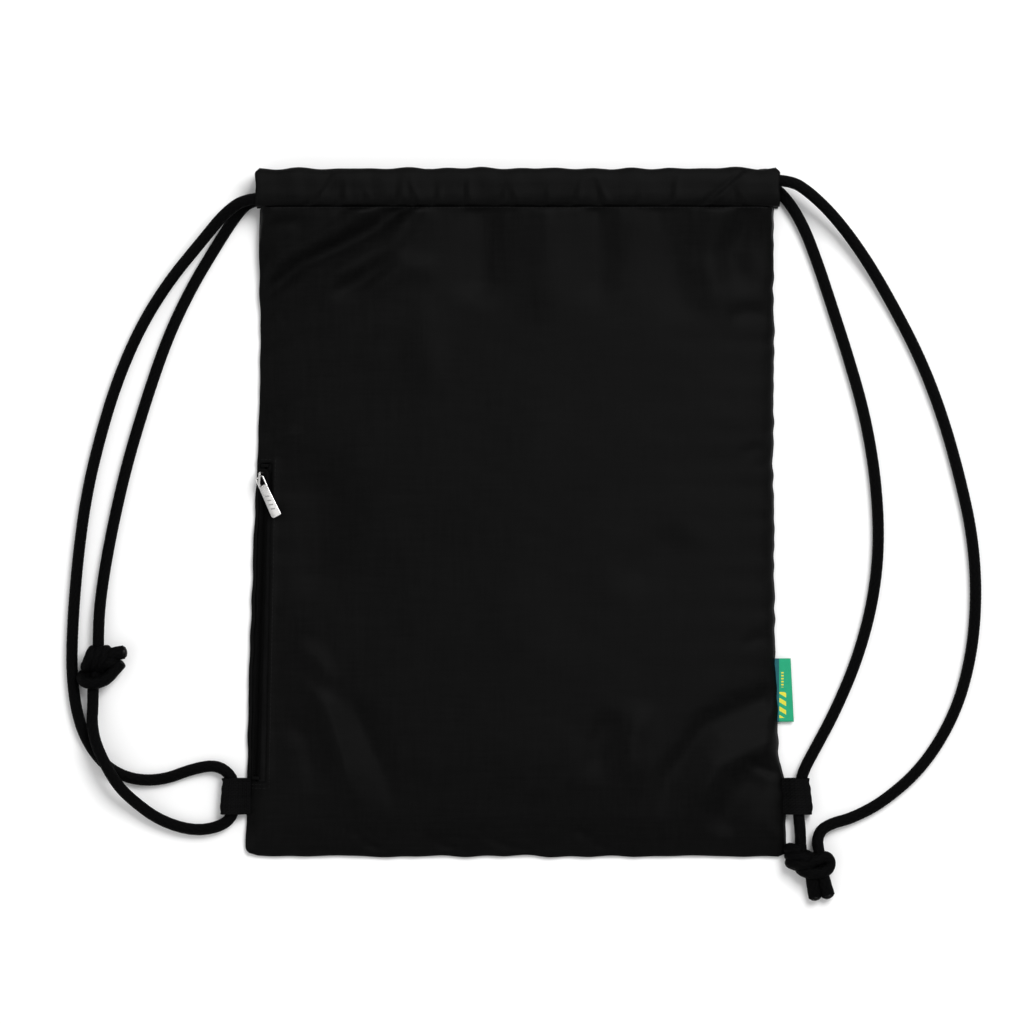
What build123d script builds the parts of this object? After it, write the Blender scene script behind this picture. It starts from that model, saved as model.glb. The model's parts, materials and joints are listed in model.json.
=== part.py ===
from build123d import *
from math import cos, radians, sin, tan
import os

# Drawstring backpack, lying on its back panel. Millimetres, +Z up, +Y towards the mouth.
# The origin is on the floor, under the middle of the bag.

# ---------------------------------------------------------------- driving sizes
bag_height = 450.0            # bottom seam to the top of the casings
half_top = 167.8              # half width of the bag just under the casings
half_bottom = 177.8           # half width of the bag at the bottom seam
corner_radius = 6.0           # rounded bottom corners
puff = 18.0                   # how high the front panel stands over the floor
fabric = 0.8                  # the fabric with its turned seams
back_fabric = 1.2             # the back panel, which lies flat

casing_height = 25.5          # hem that holds the cords, measured along the bag
casing_overhang = 2.5         # how far a casing stands out past the side of the bag
casing_wall = 0.6
cord_clearance = 0.15         # above and below a cord inside its casing
mouth_gap = 5.4               # between the two casings

cord_diameter = 7.5
lane_inset = 8.3              # from the casing's outer edge to the first cord's centre
lane_pitch = 11.7             # between the two cords in one casing

zip_length = 208.0
zip_margin = 2.4              # from the bend at the bottom of the bag to the zip's lower end
zip_slope = 30.0              # lean of the side wall that carries the zip, degrees
zip_inset = 5.7               # from the side seam to the middle of the zip, seen from above
tape_half = 5.6               # from the middle of the zip to the edge of each tape
tape_thickness = 0.6
coil_gap = 0.7                # half the gap between the two coils
coil_width = 2.3
coil_height = 2.2

slider_length = 13.0
slider_half = 4.2
plate = 1.2
slider_clearance = 0.3
bridge_height = 3.3           # free height under the bridge
bridge_bar = 1.3
bridge_half = 0.7

tab_length = 29.0
tab_thickness = 1.4
tab_end_half = 3.75
tab_eye_half = 3.2
eye_half = 2.4
tab_swivel = 26.0             # turn of the tab in the slider's plane at rest, degrees
tab_pitch = 8.0               # how far it leans down onto the bag, degrees

loop_width = 24.2             # webbing width
loop_reach = 17.4             # how far the folded webbing stands out of the seam
loop_thickness = 1.3
loop_room = 0.9               # free height over a cord in a loop
seam_taper = 4.5              # the folded webbing closes towards the seam over this width
loop_from_bottom = 39.4       # bottom seam to the middle of a loop

label_height = 42.0
label_reach = 8.4
label_thickness = 0.8
label_from_bottom = 108.7     # bottom seam to the middle of the label

knot_width = 24.0
knot_length = 29.0
knot_height = 16.0
knot_edge = 5.5
tail_diameter = 8.0

# ---------------------------------------------------------------- derived sizes
top_y = bag_height / 2
bottom_y = -bag_height / 2
hem_y = top_y - casing_height
floor_gap = 0.3
casing_half = half_top + casing_overhang
casing_depth = cord_diameter + 2 * (casing_wall + cord_clearance)
front_casing_z = casing_depth + mouth_gap
cord_radius = cord_diameter / 2
lower_lane_y = top_y - lane_inset - lane_pitch
upper_lane_y = top_y - lane_inset
front_cord_z = front_casing_z + casing_depth / 2
back_cord_z = casing_depth / 2
wall_foot = 2.4               # upright foot of the side walls, above the floor
shoulder = 10.6               # width of the leaning wall, seen from above
lean = tan(radians(zip_slope))
right_flare_y = -60.0         # and the right side from here
bend_y = bottom_y + 47.0        # below this the bag thins towards its bottom seam
zip_top_y = bend_y + zip_margin + zip_length
flare_y = zip_top_y + 7.6       # the left side flares from here to the bottom
loop_middle_y = bottom_y + loop_from_bottom
loop_height = cord_diameter + 2 * loop_thickness + loop_room
label_middle_y = bottom_y + label_from_bottom

os.makedirs("parts", exist_ok=True)


def left_edge(y):
    """Distance of the left side seam from the middle at this height."""
    upper = half_top + 0.6
    if y >= flare_y:
        return -(upper + 1.4 * (hem_y - y) / (hem_y - flare_y))
    return -(upper + 1.4 + (half_bottom - upper - 1.4) * (flare_y - y) / (flare_y - bottom_y))


def right_edge(y):
    """Distance of the right side seam from the middle at this height."""
    upper = half_top + 0.2
    if y >= right_flare_y:
        return upper
    return upper + (half_bottom - 1.0 - upper) * (right_flare_y - y) / (right_flare_y - bottom_y)


def save(part, name):
    """Label a finished piece and write it."""
    part.label = name
    export_step(part, f"parts/{name}.step")


# ---------------------------------------------------------------- bag panels
# Each station: height along the bag, foot of the side walls, top of the leaning left wall,
# left shoulder, crown, right shoulder, top of the right wall.
hem_z = front_casing_z + 5.0    # the panel runs into the front casing at this height
stations = [
    (hem_y, wall_foot, hem_z - 5.4, hem_z - 0.8, hem_z, hem_z - 0.8, hem_z - 7.4),
    (flare_y, wall_foot, wall_foot + shoulder * lean, puff - 5.5, puff, puff - 6.0, 5.0),
    (right_flare_y, wall_foot, wall_foot + shoulder * lean, puff - 5.5, puff, puff - 6.0, 5.0),
    (bend_y, wall_foot, wall_foot + shoulder * lean, puff - 5.5, puff - 1.0, puff - 6.0, 5.0),
    (bottom_y + 19.0, 2.2, 5.2, 7.2, 9.5, 7.0, 3.6),
    (bottom_y, 1.8, 2.3, 2.7, 3.2, 2.7, 2.0),
]


def panel_section(station, inset):
    """Draw one cross-section of the front panel, inset for its inner side."""
    y, foot, lean_top, left_top, crown, right_top, right_wall = station
    left = left_edge(y) + inset
    right = right_edge(y) - inset
    low = back_fabric - 5 * inset
    down = inset * 1.05
    with BuildSketch(Plane((0, y, 0), x_dir=(1, 0, 0), z_dir=(0, -1, 0))) as section:
        with BuildLine():
            Polyline(
                (right - 22, right_top - down),
                (right, right_wall - down),
                (right, low),
                (left, low),
                (left, foot - inset * 0.58),
                (left + shoulder - inset * 0.7, lean_top - down),
                (left + shoulder + 11.4, left_top - down),
            )
            ThreePointArc(
                (left + shoulder + 11.4, left_top - down),
                (0, crown - inset),
                (right - 22, right_top - down),
            )
        make_face()
    return section.sketch


with BuildSketch() as outline:
    with BuildLine():
        Polyline(
            (left_edge(hem_y), hem_y),
            (left_edge(flare_y), flare_y),
            (left_edge(bottom_y), bottom_y),
            (right_edge(bottom_y), bottom_y),
            (right_edge(right_flare_y), right_flare_y),
            (right_edge(hem_y), hem_y),
            close=True,
        )
    make_face()
    fillet(outline.vertices().group_by(Axis.Y)[0], corner_radius)

with BuildPart() as back_panel:
    add(outline.sketch)
    extrude(amount=back_fabric)
save(back_panel.part, "back_panel")

# The zip's own plane: X down along the zip, Y towards the front panel, Z out of the bag.
zip_top_x = left_edge(zip_top_y)
zip_run = Vector(left_edge(bottom_y) - left_edge(flare_y), bottom_y - flare_y, 0).normalized()
zip_level = Vector(zip_run.Y, -zip_run.X, 0)
zip_normal = zip_level * sin(radians(zip_slope)) + Vector(0, 0, cos(radians(zip_slope)))
zip_middle = Vector(zip_top_x + zip_inset, zip_top_y, wall_foot + zip_inset * lean)
zip_plane = Plane(zip_middle, x_dir=zip_run, z_dir=zip_normal)

with BuildPart() as front_panel:
    for station in stations:
        add(panel_section(station, 0))
    loft(ruled=True)
    inner_stations = [(hem_y + 1,) + stations[0][1:]] + stations[1:-1] + [(bottom_y + 3,) + stations[-1][1:]]
    with BuildPart(mode=Mode.PRIVATE) as hollow:
        for station in inner_stations:
            add(panel_section(station, fabric))
        loft(ruled=True)
    add(hollow.part, mode=Mode.SUBTRACT)
    with BuildSketch() as footprint:
        add(outline.sketch)
    extrude(amount=50, mode=Mode.INTERSECT)
    with BuildSketch(zip_plane.offset(-3)) as window:
        with Locations((zip_length / 2, 0)):
            Rectangle(zip_length, 2 * tape_half)
    extrude(amount=6, mode=Mode.SUBTRACT)
save(front_panel.part, "front_panel")

# ---------------------------------------------------------------- casings
turn_radius = (front_cord_z - back_cord_z) / 2
notch_length = turn_radius + cord_diameter + 4
notch_width = cord_diameter + 1


def casing(name, base_z, inner_z):
    """Make one hem channel, with notches in its inner wall where the cords turn over."""
    section_plane = Plane((-casing_half, 0, 0), x_dir=(0, 1, 0), z_dir=(1, 0, 0))
    with BuildPart() as sleeve:
        with BuildSketch(section_plane) as outer:
            with Locations((hem_y + casing_height / 2, base_z + casing_depth / 2)):
                Rectangle(casing_height, casing_depth)
            fillet(outer.vertices().group_by(Axis.X)[-1], casing_depth * 0.4)
        extrude(amount=2 * casing_half)
        with BuildSketch(section_plane) as inner:
            with Locations((hem_y + casing_height / 2, base_z + casing_depth / 2)):
                Rectangle(casing_height - 2 * casing_wall, casing_depth - 2 * casing_wall)
            fillet(inner.vertices().group_by(Axis.X)[-1], casing_depth * 0.4 - casing_wall)
        extrude(amount=2 * casing_half, mode=Mode.SUBTRACT)
        with BuildSketch(Plane.XY.offset(inner_z - casing_wall)):
            with Locations((casing_half - notch_length / 2, lower_lane_y)):
                Rectangle(notch_length, notch_width)
            with Locations((-casing_half + notch_length / 2, upper_lane_y)):
                Rectangle(notch_length, notch_width)
        extrude(amount=2 * casing_wall, mode=Mode.SUBTRACT)
    save(sleeve.part, name)
    return sleeve.part


back_casing = casing("back_casing", 0, casing_depth)
front_casing = casing("front_casing", front_casing_z, front_casing_z)

# ---------------------------------------------------------------- zip
with BuildPart() as zip_tape_front:
    with BuildSketch(zip_plane.offset(-tape_thickness)):
        with Locations((zip_length / 2, (tape_half + coil_gap) / 2)):
            Rectangle(zip_length, tape_half - coil_gap)
    extrude(amount=tape_thickness)
save(zip_tape_front.part, "zip_tape_front")

with BuildPart() as zip_tape_back:
    with BuildSketch(zip_plane.offset(-tape_thickness)):
        with Locations((zip_length / 2, -(tape_half + coil_gap) / 2)):
            Rectangle(zip_length, tape_half - coil_gap)
    extrude(amount=tape_thickness)
save(zip_tape_back.part, "zip_tape_back")

stop_length = 2.4
coil_start = stop_length + 1.2
coil_length = zip_length - 2 * coil_start
for side, name in ((1, "zip_coil_front"), (-1, "zip_coil_back")):
    with BuildPart() as zip_coil:
        with BuildSketch(zip_plane):
            with Locations((zip_length / 2, side * (coil_gap + coil_width / 2))):
                Rectangle(coil_length, coil_width)
        extrude(amount=coil_height)
        fillet(zip_coil.edges().filter_by(Axis(zip_middle, zip_run)).group_by(Axis(zip_middle, zip_normal))[-1], 0.4)
    save(zip_coil.part, name)

for place, name in ((0, "zip_top_stop"), (1, "zip_bottom_stop")):
    along = coil_start / 2 if place == 0 else zip_length - coil_start / 2
    with BuildPart() as zip_stop:
        with BuildSketch(zip_plane):
            with Locations((along, 0)):
                Rectangle(stop_length, 2 * (coil_gap + coil_width))
        extrude(amount=coil_height)
        fillet(zip_stop.faces().sort_by(Axis(zip_middle, zip_normal))[-1].edges(), 0.5)
    save(zip_stop.part, name)

# Slider at its top stop, made in the zip's plane
slider_at = coil_start + slider_length / 2 + 0.4
slider_travel = coil_length - slider_length - 2.0
under_plate = tape_thickness + slider_clearance + 0.05
top_plate_z = coil_height + slider_clearance
bridge_base_z = top_plate_z + plate
bridge_top_z = bridge_base_z + bridge_height + bridge_bar
post = 1.2
bridge_low = slider_at + 5.1          # lower end of the bridge
bridge_high = slider_at - 4.5         # upper end of the bridge

with BuildPart() as zip_slider:
    with BuildSketch(zip_plane.offset(-under_plate - plate)) as lower_plate:
        with Locations((slider_at, 0)):
            Rectangle(slider_length, 2 * slider_half)
        fillet(lower_plate.vertices(), 1.6)
    extrude(amount=plate)
    with BuildSketch(zip_plane.offset(top_plate_z)) as upper_plate:
        with Locations((slider_at, 0)):
            Rectangle(slider_length, 2 * slider_half)
        fillet(upper_plate.vertices(), 1.6)
    extrude(amount=plate)
    flange = slider_half - coil_gap - coil_width - slider_clearance
    with BuildSketch(zip_plane.offset(slider_clearance)):
        with Locations(
            (slider_at, slider_half - flange / 2),
            (slider_at, -slider_half + flange / 2),
        ):
            Rectangle(slider_length - 3.6, flange)
    extrude(amount=top_plate_z - slider_clearance)
    with BuildSketch(zip_plane.offset(-under_plate)):
        with Locations((slider_at - 3.5, 0)):
            Rectangle(3.0, 2 * (coil_gap - slider_clearance))
    extrude(amount=under_plate + top_plate_z)
    side_plane = Plane(zip_plane.from_local_coords(Vector(0, -bridge_half, 0)), x_dir=zip_run, z_dir=-zip_plane.y_dir)
    bridge_middle = (bridge_low + bridge_high) / 2
    bridge_span = bridge_low - bridge_high
    with BuildSketch(side_plane) as arch:
        with Locations((bridge_middle, bridge_base_z + (bridge_height + bridge_bar) / 2)):
            Rectangle(bridge_span, bridge_height + bridge_bar)
        fillet(arch.vertices().group_by(Axis.Y)[-1], 1.6)
        with Locations((bridge_middle, bridge_base_z + bridge_height / 2)):
            Rectangle(bridge_span - 2 * post, bridge_height, mode=Mode.SUBTRACT)
    extrude(amount=-2 * bridge_half)
save(zip_slider.part, "zip_slider")

# Pull tab: its rim bar lies under the bridge and is its hinge
rim_radius = tab_thickness / 2
hinge_point = zip_plane.from_local_coords(
    Vector(bridge_low - post - 4.7, -1.2, bridge_base_z + bridge_height - rim_radius - 0.25)
)
swivel = radians(tab_swivel)
pitch = radians(tab_pitch)
front_dir = zip_plane.y_dir
tab_side = zip_run * -sin(swivel) + front_dir * cos(swivel)
tab_run = (zip_run * cos(swivel) + front_dir * sin(swivel)) * cos(pitch) - zip_normal * sin(pitch)
tab_face = tab_run.cross(tab_side)
tab_plane = Plane(hinge_point, x_dir=tab_run, z_dir=tab_face)

with BuildPart() as zip_pull_tab:
    with BuildSketch(tab_plane.offset(-rim_radius)) as blade:
        with BuildLine():
            Polyline(
                (0, -tab_eye_half),
                (11, -tab_eye_half),
                (tab_length - rim_radius, -tab_end_half),
                (tab_length - rim_radius, tab_end_half),
                (11, tab_eye_half),
                (0, tab_eye_half),
                close=True,
            )
        make_face()
        fillet(blade.vertices().group_by(Axis.X)[-1], 2.0)
        with Locations((rim_radius + 3.1, 0)):
            Rectangle(6.2, 2 * eye_half, mode=Mode.SUBTRACT)
        with Locations((0, 0)):
            Rectangle(2 * rim_radius, 2 * tab_eye_half + 1, mode=Mode.SUBTRACT)
    extrude(amount=tab_thickness)
    rim_plane = Plane(
        tab_plane.from_local_coords(Vector(0, -tab_eye_half, 0)), x_dir=tab_run, z_dir=tab_plane.y_dir
    )
    with BuildSketch(rim_plane):
        Circle(rim_radius)
    extrude(amount=2 * tab_eye_half)
    with BuildSketch(tab_plane.offset(-rim_radius)):
        with Locations((rim_radius / 2, tab_eye_half - 0.4), (rim_radius / 2, -tab_eye_half + 0.4)):
            Rectangle(rim_radius, 0.8)
    extrude(amount=tab_thickness)
save(zip_pull_tab.part, "zip_pull_tab")

# ---------------------------------------------------------------- pocket lining
lining_width = 120.0
lining_left = max(left_edge(bend_y) + 14, left_edge(zip_top_y) + 7)
with BuildPart() as pocket_lining:
    with BuildSketch(Plane.XY.offset(back_fabric + floor_gap)):
        with Locations((lining_left + lining_width / 2, zip_top_y - zip_length / 2)):
            Rectangle(lining_width, zip_length + 10)
    extrude(amount=1.0)
save(pocket_lining.part, "pocket_lining")


# ---------------------------------------------------------------- loops and label
def webbing_loop(name, side):
    """Fold a webbing strap into a loop that stands out of a side seam."""
    edge = left_edge if side < 0 else right_edge
    start = Vector(edge(loop_middle_y + loop_width / 2), loop_middle_y + loop_width / 2, 0)
    end = Vector(edge(loop_middle_y - loop_width / 2), loop_middle_y - loop_width / 2, 0)
    run = (end - start).normalized()
    outwards = Vector(side, 0, 0) - run * (run.X * side)
    cross = Plane(start, x_dir=outwards.normalized(), z_dir=run * -side if side > 0 else run)
    along = 1 if cross.z_dir.dot(run) > 0 else -1
    round_x = loop_reach - loop_height / 2
    high = loop_height if cross.y_dir.Z > 0 else -loop_height
    with BuildPart() as loop:
        with BuildSketch(cross) as fold:
            with BuildLine():
                Line((0, 0), (round_x, 0))
                ThreePointArc((round_x, 0), (loop_reach, high / 2), (round_x, high))
                Line((round_x, high), (seam_taper, high))
                Line((seam_taper, high), (0, high * 0.45))
                Line((0, high * 0.45), (0, 0))
            make_face()
            offset(amount=-loop_thickness, mode=Mode.SUBTRACT)
        extrude(amount=along * (end - start).length)
    save(loop.part, name)
    return loop.part


left_loop = webbing_loop("left_loop", -1)
right_loop = webbing_loop("right_loop", 1)

with BuildPart() as side_label:
    label_low = label_middle_y - label_height / 2
    label_high = label_middle_y + label_height / 2
    with BuildSketch(Plane.XY.offset(wall_foot)):
        with BuildLine():
            Polyline(
                (right_edge(label_high), label_high),
                (right_edge(label_high) + label_reach, label_high),
                (right_edge(label_low) + label_reach - 0.6, label_low),
                (right_edge(label_low), label_low),
                close=True,
            )
        make_face()
    extrude(amount=label_thickness)
save(side_label.part, "side_label")

# ---------------------------------------------------------------- knots
left_knot_top = Vector(-274.5, -87, 0)
right_knot_top = Vector(190.5, -218, 0)
tail_z = 8.0


def knot(name, top, tails):
    """Pull a bulky overhand knot together, with its two short tails."""
    with BuildPart() as bundle:
        with BuildSketch(Plane((top.X, top.Y, knot_height / 2), x_dir=(1, 0, 0), z_dir=(0, -1, 0))):
            Rectangle(knot_width, knot_height)
        extrude(amount=knot_length)
        fillet(bundle.edges(), knot_edge)
        for start, end in tails:
            axis = Vector(*end) - Vector(*start)
            with BuildSketch(Plane(Vector(*start), z_dir=axis)):
                Circle(tail_diameter / 2)
            extrude(amount=axis.length)
    save(bundle.part, name)
    return bundle.part


left_knot = knot(
    "left_knot",
    left_knot_top,
    [((-268, -104, tail_z), (-252, -93, tail_z)), ((-270, -97, tail_z), (-258, -89, tail_z + 1.5))],
)
right_knot = knot(
    "right_knot",
    right_knot_top,
    [((192, -238, tail_z), (195, -254, 4.6)), ((200, -236, tail_z), (204, -252.5, 4.6))],
)

# ---------------------------------------------------------------- cords
run_end = 160.0               # the cord's own run stops here, just inside the casing


def cord_radii(points):
    """Largest radii that the runs of a route allow."""
    radii = []
    for before, here, after in zip(points, points[1:], points[2:]):
        first = Vector(*here) - Vector(*before)
        second = Vector(*after) - Vector(*here)
        half_turn = radians(first.get_angle(second)) / 2
        radii.append(0.45 * min(first.length, second.length) / tan(half_turn))
    return radii


def strand(name, points):
    """Sweep a cord along straight runs joined by tangent arcs."""
    radii = cord_radii(points)
    first = Vector(*points[1]) - Vector(*points[0])
    with BuildPart() as tube:
        with BuildLine() as path:
            FilletPolyline(*points, radius=radii)
        with BuildSketch(Plane(Vector(*points[0]), z_dir=first)):
            Circle(cord_radius)
        sweep(path=path.wire())
    length = path.wire().length
    section = Circle(cord_radius, mode=Mode.PRIVATE).area
    print(name, "length", round(length, 1), "least radius", round(min(radii), 1),
          "volume ratio", round(tube.part.volume / (section * length), 4))
    save(tube.part, name)
    return tube.part


def casing_run(name, lane_y, side, front_end, back_end):
    """Lead a cord through one casing, round, and back through the other."""
    turn_x = -side * (casing_half - turn_radius - cord_radius - 4)
    with BuildPart() as tube:
        with BuildLine() as path:
            Line((front_end, lane_y, front_cord_z), (turn_x, lane_y, front_cord_z))
            ThreePointArc(
                (turn_x, lane_y, front_cord_z),
                (turn_x - side * turn_radius, lane_y, (front_cord_z + back_cord_z) / 2),
                (turn_x, lane_y, back_cord_z),
            )
            Line((turn_x, lane_y, back_cord_z), (back_end, lane_y, back_cord_z))
        with BuildSketch(Plane((front_end, lane_y, front_cord_z), z_dir=(-side, 0, 0))):
            Circle(cord_radius)
        sweep(path=path.wire())
    save(tube.part, name)
    return tube.part


left_run = casing_run("left_cord_casing_run", lower_lane_y, -1, -run_end, -run_end)
right_run = casing_run("right_cord_casing_run", upper_lane_y, 1, run_end, run_end - 12)

knot_join_z = 7.0
left_outer_route = [
    (-run_end, lower_lane_y, front_cord_z),
    (-176, lower_lane_y, front_cord_z),
    (-190, 196, 17.4),
    (-206, 177, 13),
    (-228, 151, 7.5),
    (-247, 121, 3.75),
    (-262, 86, 3.75),
    (-273, 50, 3.75),
    (-282, 12, 3.75),
    (-287.5, -28, 3.75),
    (-291, -70, 3.75),
    (-292, -108, 3.75),
    (-286.5, -141, 3.75),
    (-273, -163.5, 3.75),
    (-255, -174.5, 3.75),
    (-233, -175.5, 3.75),
    (-212, -167.5, 4.2),
    (-196, -165, 5.0),
    (-185.8, -173.5, 5.5),
    (-185.2, -186, 5.5),
    (-185.8, -198, 5.5),
    (-194, -205.5, 5.0),
    (-212, -208.5, 4.2),
    (-234, -201.5, 5.5),
    (-251, -188.5, 9.5),
    (-262, -177, 14.5),
    (-274.5, -153.5, 14.5),
    (-278.2, -138, 9.5),
    (-277.5, -126, knot_join_z),
    (-277.5, -116, knot_join_z),
]
left_inner_route = [
    (-run_end, lower_lane_y, back_cord_z),
    (-174, lower_lane_y, back_cord_z),
    (-184.5, 194, 4.2),
    (-198.5, 172, 3.75),
    (-214.5, 145, 3.75),
    (-229.5, 113, 3.75),
    (-243.5, 72, 3.75),
    (-256, 30, 3.75),
    (-265.5, -12, 3.75),
    (-271.5, -46, 4.2),
    (-274, -71, knot_join_z),
    (-274, -87, knot_join_z),
]
right_outer_route = [
    (run_end, upper_lane_y, front_cord_z),
    (177, upper_lane_y, front_cord_z),
    (190, 209, 17.4),
    (208, 192, 13),
    (228, 165.5, 7.5),
    (246.5, 134, 3.75),
    (263.5, 101, 3.75),
    (277.5, 65, 3.75),
    (289, 25, 3.75),
    (298, -16, 3.75),
    (300.5, -56, 3.75),
    (297, -95, 3.75),
    (286.5, -132, 3.75),
    (266, -166, 3.75),
    (240, -189, 3.75),
    (219, -200, 4.2),
    (204.5, -203.5, 5.6),
    (196, -209.5, knot_join_z),
    (196, -218, knot_join_z),
]
right_inner_route = [
    (run_end - 12, upper_lane_y, back_cord_z),
    (162, upper_lane_y, back_cord_z),
    (174.5, 207.5, 4.4),
    (186.5, 189, 4.2),
    (196.5, 163, 3.75),
    (206, 134, 3.75),
    (217, 100, 3.75),
    (227.5, 63, 3.75),
    (234.5, 22, 3.75),
    (236.8, -20, 3.75),
    (232.8, -58, 3.75),
    (222.5, -96, 3.75),
    (208, -130, 3.75),
    (194.5, -155, 4.8),
    (186.8, -169, 5.5),
    (184.4, -180.5, 5.5),
    (183.6, -197, 5.5),
    (185, -208.5, knot_join_z),
    (185, -218, knot_join_z),
]
left_outer = strand("left_cord_outer_strand", left_outer_route)
left_inner = strand("left_cord_inner_strand", left_inner_route)
right_outer = strand("right_cord_outer_strand", right_outer_route)
right_inner = strand("right_cord_inner_strand", right_inner_route)

# ---------------------------------------------------------------- motion axes
print("slide axis", [round(v, 6) for v in zip_run])
print("slide travel", slider_travel)
print("hinge point", [round(v / 1000, 6) for v in hinge_point])
print("hinge axis", [round(v, 6) for v in tab_side * -1])
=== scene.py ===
"""Drawstring backpack lying on its back panel: cloth, cords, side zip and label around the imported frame."""

import json
import logging
import math
from dataclasses import dataclass, field
from enum import Enum

import bmesh
import bpy
import numpy as np
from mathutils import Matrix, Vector

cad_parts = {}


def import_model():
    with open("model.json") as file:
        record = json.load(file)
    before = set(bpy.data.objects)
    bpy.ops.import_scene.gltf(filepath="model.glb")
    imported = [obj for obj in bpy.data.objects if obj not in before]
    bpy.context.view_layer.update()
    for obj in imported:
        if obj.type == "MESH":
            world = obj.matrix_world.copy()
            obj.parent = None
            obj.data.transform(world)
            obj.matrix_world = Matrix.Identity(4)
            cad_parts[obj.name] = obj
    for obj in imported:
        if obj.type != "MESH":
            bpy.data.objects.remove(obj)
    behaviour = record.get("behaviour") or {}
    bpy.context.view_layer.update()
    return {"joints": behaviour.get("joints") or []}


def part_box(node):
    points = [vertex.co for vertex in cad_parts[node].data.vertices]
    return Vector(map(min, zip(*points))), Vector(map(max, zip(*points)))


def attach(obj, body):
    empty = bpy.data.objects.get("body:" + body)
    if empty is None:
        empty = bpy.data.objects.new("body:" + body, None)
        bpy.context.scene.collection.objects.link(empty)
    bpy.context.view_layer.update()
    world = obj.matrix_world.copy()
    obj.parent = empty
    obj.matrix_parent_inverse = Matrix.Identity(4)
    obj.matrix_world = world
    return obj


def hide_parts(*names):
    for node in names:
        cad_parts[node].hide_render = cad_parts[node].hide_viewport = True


LOG = logging.getLogger("backpack")

MM = 0.001
Colour = tuple[float, float, float]
Point = tuple[float, float, float]
Array = np.ndarray
Outline = list[tuple[float, float]]
Faces = list[tuple[int, ...]]
Piece = bpy.types.Object
Material = bpy.types.Material
Finishes = dict[str, Material]
Socket = bpy.types.NodeSocket


# ---------------------------------------------------------------- shader node groups
class Coordinates(Enum):
    """Where a pattern takes its place from."""

    OBJECT = "Object"
    UV = "UV"


class NodeBench:
    """Adds and joins nodes in one node tree."""

    def __init__(self, tree: bpy.types.NodeTree) -> None:
        """Keep the tree that the nodes go into."""
        self.tree = tree

    def add(self, kind: str, **settings: object) -> bpy.types.Node:
        """Add a node.

        Args:
            kind: Blender's name for the node type.
            **settings: attributes to set on it.

        Returns:
            The new node.
        """
        node = self.tree.nodes.new(kind)
        for name, value in settings.items():
            setattr(node, name, value)
        return node

    def feed(self, node: bpy.types.Node, socket: str | int, value: object) -> None:
        """Give a socket a constant or another node's output.

        Args:
            node: the node that takes the value.
            socket: name or number of its input.
            value: a constant, or an output socket to link from.
        """
        if isinstance(value, Socket):
            self.tree.links.new(value, node.inputs[socket])
        else:
            node.inputs[socket].default_value = value

    def math(self, operation: str, *values: object) -> Socket:
        """Add a Math node.

        Args:
            operation: name of the operation.
            *values: constants or output sockets, in order.

        Returns:
            The output socket.
        """
        node = self.add("ShaderNodeMath", operation=operation)
        for number, value in enumerate(values):
            self.feed(node, number, value)
        return node.outputs[0]

    def blend(self, share: object, first: object, second: object) -> Socket:
        """Mix two colours.

        Args:
            share: how much of the second colour shows, from 0 to 1.
            first: colour or output socket.
            second: colour or output socket.

        Returns:
            The mixed colour's socket.
        """
        node = self.add("ShaderNodeMix", data_type="RGBA")
        self.feed(node, 0, share)
        for socket, value in ((6, first), (7, second)):
            colour = value if isinstance(value, Socket) else (*value, 1.0)
            self.feed(node, socket, colour)
        return node.outputs[2]

    def noise(self, vector: object, scale: object, detail: float = 3.0) -> Socket:
        """Add a noise texture.

        Args:
            vector: output socket with the place.
            scale: features per metre.
            detail: octaves of finer noise.

        Returns:
            The noise value's socket, from 0 to 1.
        """
        node = self.add("ShaderNodeTexNoise")
        self.feed(node, "Vector", vector)
        self.feed(node, "Scale", scale)
        self.feed(node, "Detail", detail)
        return node.outputs[0]

    def group(self, tree: bpy.types.NodeTree, **values: object) -> bpy.types.Node:
        """Place a node group.

        Args:
            tree: the group's tree.
            **values: its inputs by name, with underscores for spaces.

        Returns:
            The group node.
        """
        node = self.add("ShaderNodeGroup", node_tree=tree)
        for name, value in values.items():
            self.feed(node, name.replace("_", " "), value)
        return node


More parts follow.
